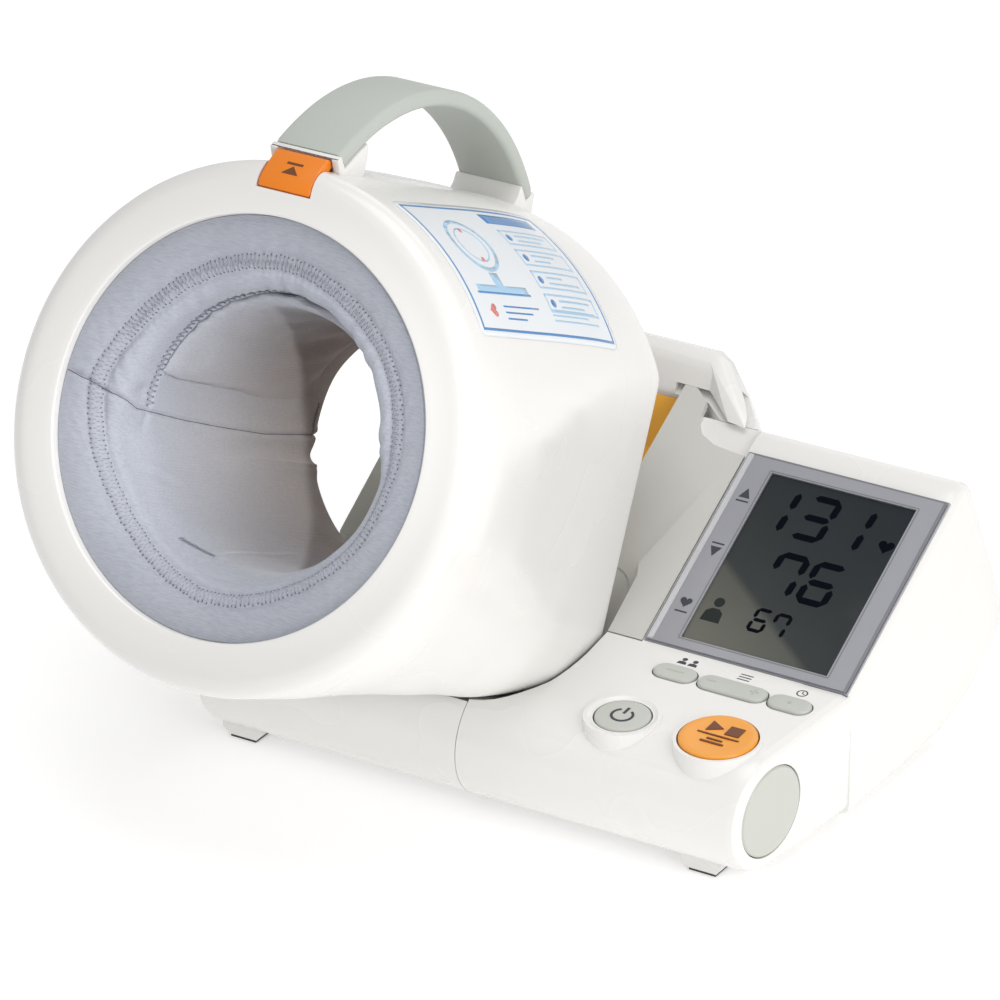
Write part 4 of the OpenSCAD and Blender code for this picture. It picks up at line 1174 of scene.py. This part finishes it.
def digit(ch, u0, v0, wd, ht, th):
    out = []
    g = th * 0.12
    sl = 0.075

    def put(pts):
        out.append([(u0 + a + (b - ht / 2) * sl, v0 + b) for a, b in pts])
    h2 = ht / 2
    for s in SEGS[ch]:
        if s in "adg":
            y = {"a": ht - th / 2, "d": th / 2, "g": h2}[s]
            put([(g + th * 0.35, y), (g + th * 0.9, y + th / 2), (wd - g - th * 0.9, y + th / 2), (wd - g - th * 0.35, y), (wd - g - th * 0.9, y - th / 2), (g + th * 0.9, y - th / 2)])
        else:
            x = {"b": wd - th / 2, "c": wd - th / 2, "e": th / 2, "f": th / 2}[s]
            y0, y1 = (h2, ht) if s in "bf" else (0, h2)
            y0, y1 = y0 + g + th * 0.35, y1 - g - th * 0.35
            put([(x, y0), (x + th / 2, y0 + th * 0.55), (x + th / 2, y1 - th * 0.55), (x, y1), (x - th / 2, y1 - th * 0.55), (x - th / 2, y0 + th * 0.55)])
    return out


dg = []
for ch, u in (("1", 2.0), ("3", 17.2), ("1", 30.6)):
    dg += digit(ch, u, 47.6, 11.9, 18.6, 2.5)
for ch, u in (("7", 16.8), ("6", 30.4)):
    dg += digit(ch, u, 24.2, 11.9, 17.8, 2.5)
for ch, u in (("6", 19.6), ("7", 27.0)):
    dg += digit(ch, u, 9.0, 6.2, 9.8, 1.35)
dg += [heart(51.0, 53.4, 2.9)]
flat_patch("lcd_digits", dg, lcd, SEG, "base", 0.1, 0.335)
flat_patch("lcd_person", [disc(6.2, 16.6, 1.9, 24), [(2.4, 8.6), (9.6, 8.6), (9.2, 12.6), (7.6, 14.0), (4.8, 14.0), (3.0, 12.6)]], lcd, SEG_SOFT, "base", 0.1, 0.33)

# lens frame: a painted highlight along the left strip, painted shade on the lower-right edges and round the window,
# and three plain signs
fr = lambda a, b, h: slope(-72 + a, 0.8 + b, h)
flat_patch("lens_left_painted_highlight", [rounded(0.9, 1.0, 2.9, 79.5, 0.6)], fr, LENS_HIGHLIGHT, "base", 0.7, 0.96)
flat_patch("lens_painted_shade_edges", [bar(75.3, 0.7, 75.3, 79.8, 0.9), bar(1.0, 79.6, 75.4, 79.6, 0.7)], fr, LENS_SHADE, "base", 0.3, 0.94)
flat_patch("lens_window_painted_shade_rim", [bar(11.3, 4.0, 11.3, 74.6, 0.5), bar(67.7, 4.0, 67.7, 74.6, 0.5), bar(11.3, 3.8, 67.7, 3.8, 0.5), bar(11.3, 74.8, 67.7, 74.8, 0.5)], fr, LENS_SHADE, "base", 0.6, 0.93)
ic = [[(5.2, 62.0), (9.4, 62.0), (7.3, 66.0)], bar(5.0, 60.6, 9.6, 60.6, 0.6)]
ic += [[(5.2, 41.0), (9.4, 41.0), (7.3, 37.0)], bar(5.0, 42.4, 9.6, 42.4, 0.6)]
ic += [heart(7.3, 17.6, 2.2), bar(5.0, 13.6, 9.6, 13.6, 0.6)]
flat_patch("lens_signs", ic, fr, INK, "base", 0.6, 0.95)

# ------------------------------------------------------------------ floor and light
bpy.ops.mesh.primitive_plane_add(size=8, location=(0, 0, 0))
floor = bpy.context.object
floor.name = "floor"
fm = bpy.data.materials.new("floor")
t, b, co = nt(fm)
t.links.new(ramp(t, noise(t, co, 3, 2), (0.9, 0.9, 0.9), (0.92, 0.92, 0.92)), b.inputs["Base Color"])
b.inputs["Roughness"].default_value = 0.9
b.inputs["Emission Color"].default_value = (1, 1, 1, 1)
b.inputs["Emission Strength"].default_value = 0.28
floor.data.materials.append(fm)

wd = bpy.context.scene.world or bpy.data.worlds.new("world")
bpy.context.scene.world = wd
wd.use_nodes = True
bg = wd.node_tree.nodes.get("Background") or wd.node_tree.nodes.new("ShaderNodeBackground")
bg.inputs[0].default_value = (1, 1, 1, 1)
bg.inputs[1].default_value = 0.52


def area(name, loc, target, size, power, col=(1, 1, 1)):
    l = bpy.data.lights.new(name, "AREA")
    l.shape = "SQUARE"
    l.size = size
    l.energy = power
    l.color = col
    o = bpy.data.objects.new(name, l)
    bpy.context.scene.collection.objects.link(o)
    o.location = loc
    o.rotation_euler = (Vector(target) - Vector(loc)).to_track_quat("-Z", "Y").to_euler()
    return o


area("key", (1.36, -0.52, 0.60), (0, 0, 0.12), 0.8, 9.2, (1, 0.99, 0.97))
area("top", (0.1, -0.1, 1.5), (0, 0, 0.1), 0.9, 5.9, (1, 0.99, 0.98))
# a narrow light that reaches into the cuff through its mouth
sp = bpy.data.lights.new("cuff", "SPOT")
sp.energy, sp.spot_size, sp.spot_blend, sp.shadow_soft_size = 74, math.radians(4.7), 0.75, 0.04
sp_ob = bpy.data.objects.new("cuff", sp)
bpy.context.scene.collection.objects.link(sp_ob)
tg = dr(0, 10, 0)
sp_ob.location = tg + Vector((0.62, 0, 0)) * 1.25 + Vector((0, -CA, SA)) * 0.97 + Vector((0, SA, CA)) * 0.24
sp_ob.rotation_euler = (tg - sp_ob.location).to_track_quat("-Z", "Y").to_euler()
area("back", (-0.2, 1.3, 1.1), (0, 0, 0.1), 1.0, 3)
bpy.context.scene.view_settings.view_transform = "Standard"
bpy.context.scene.view_settings.look = "None"
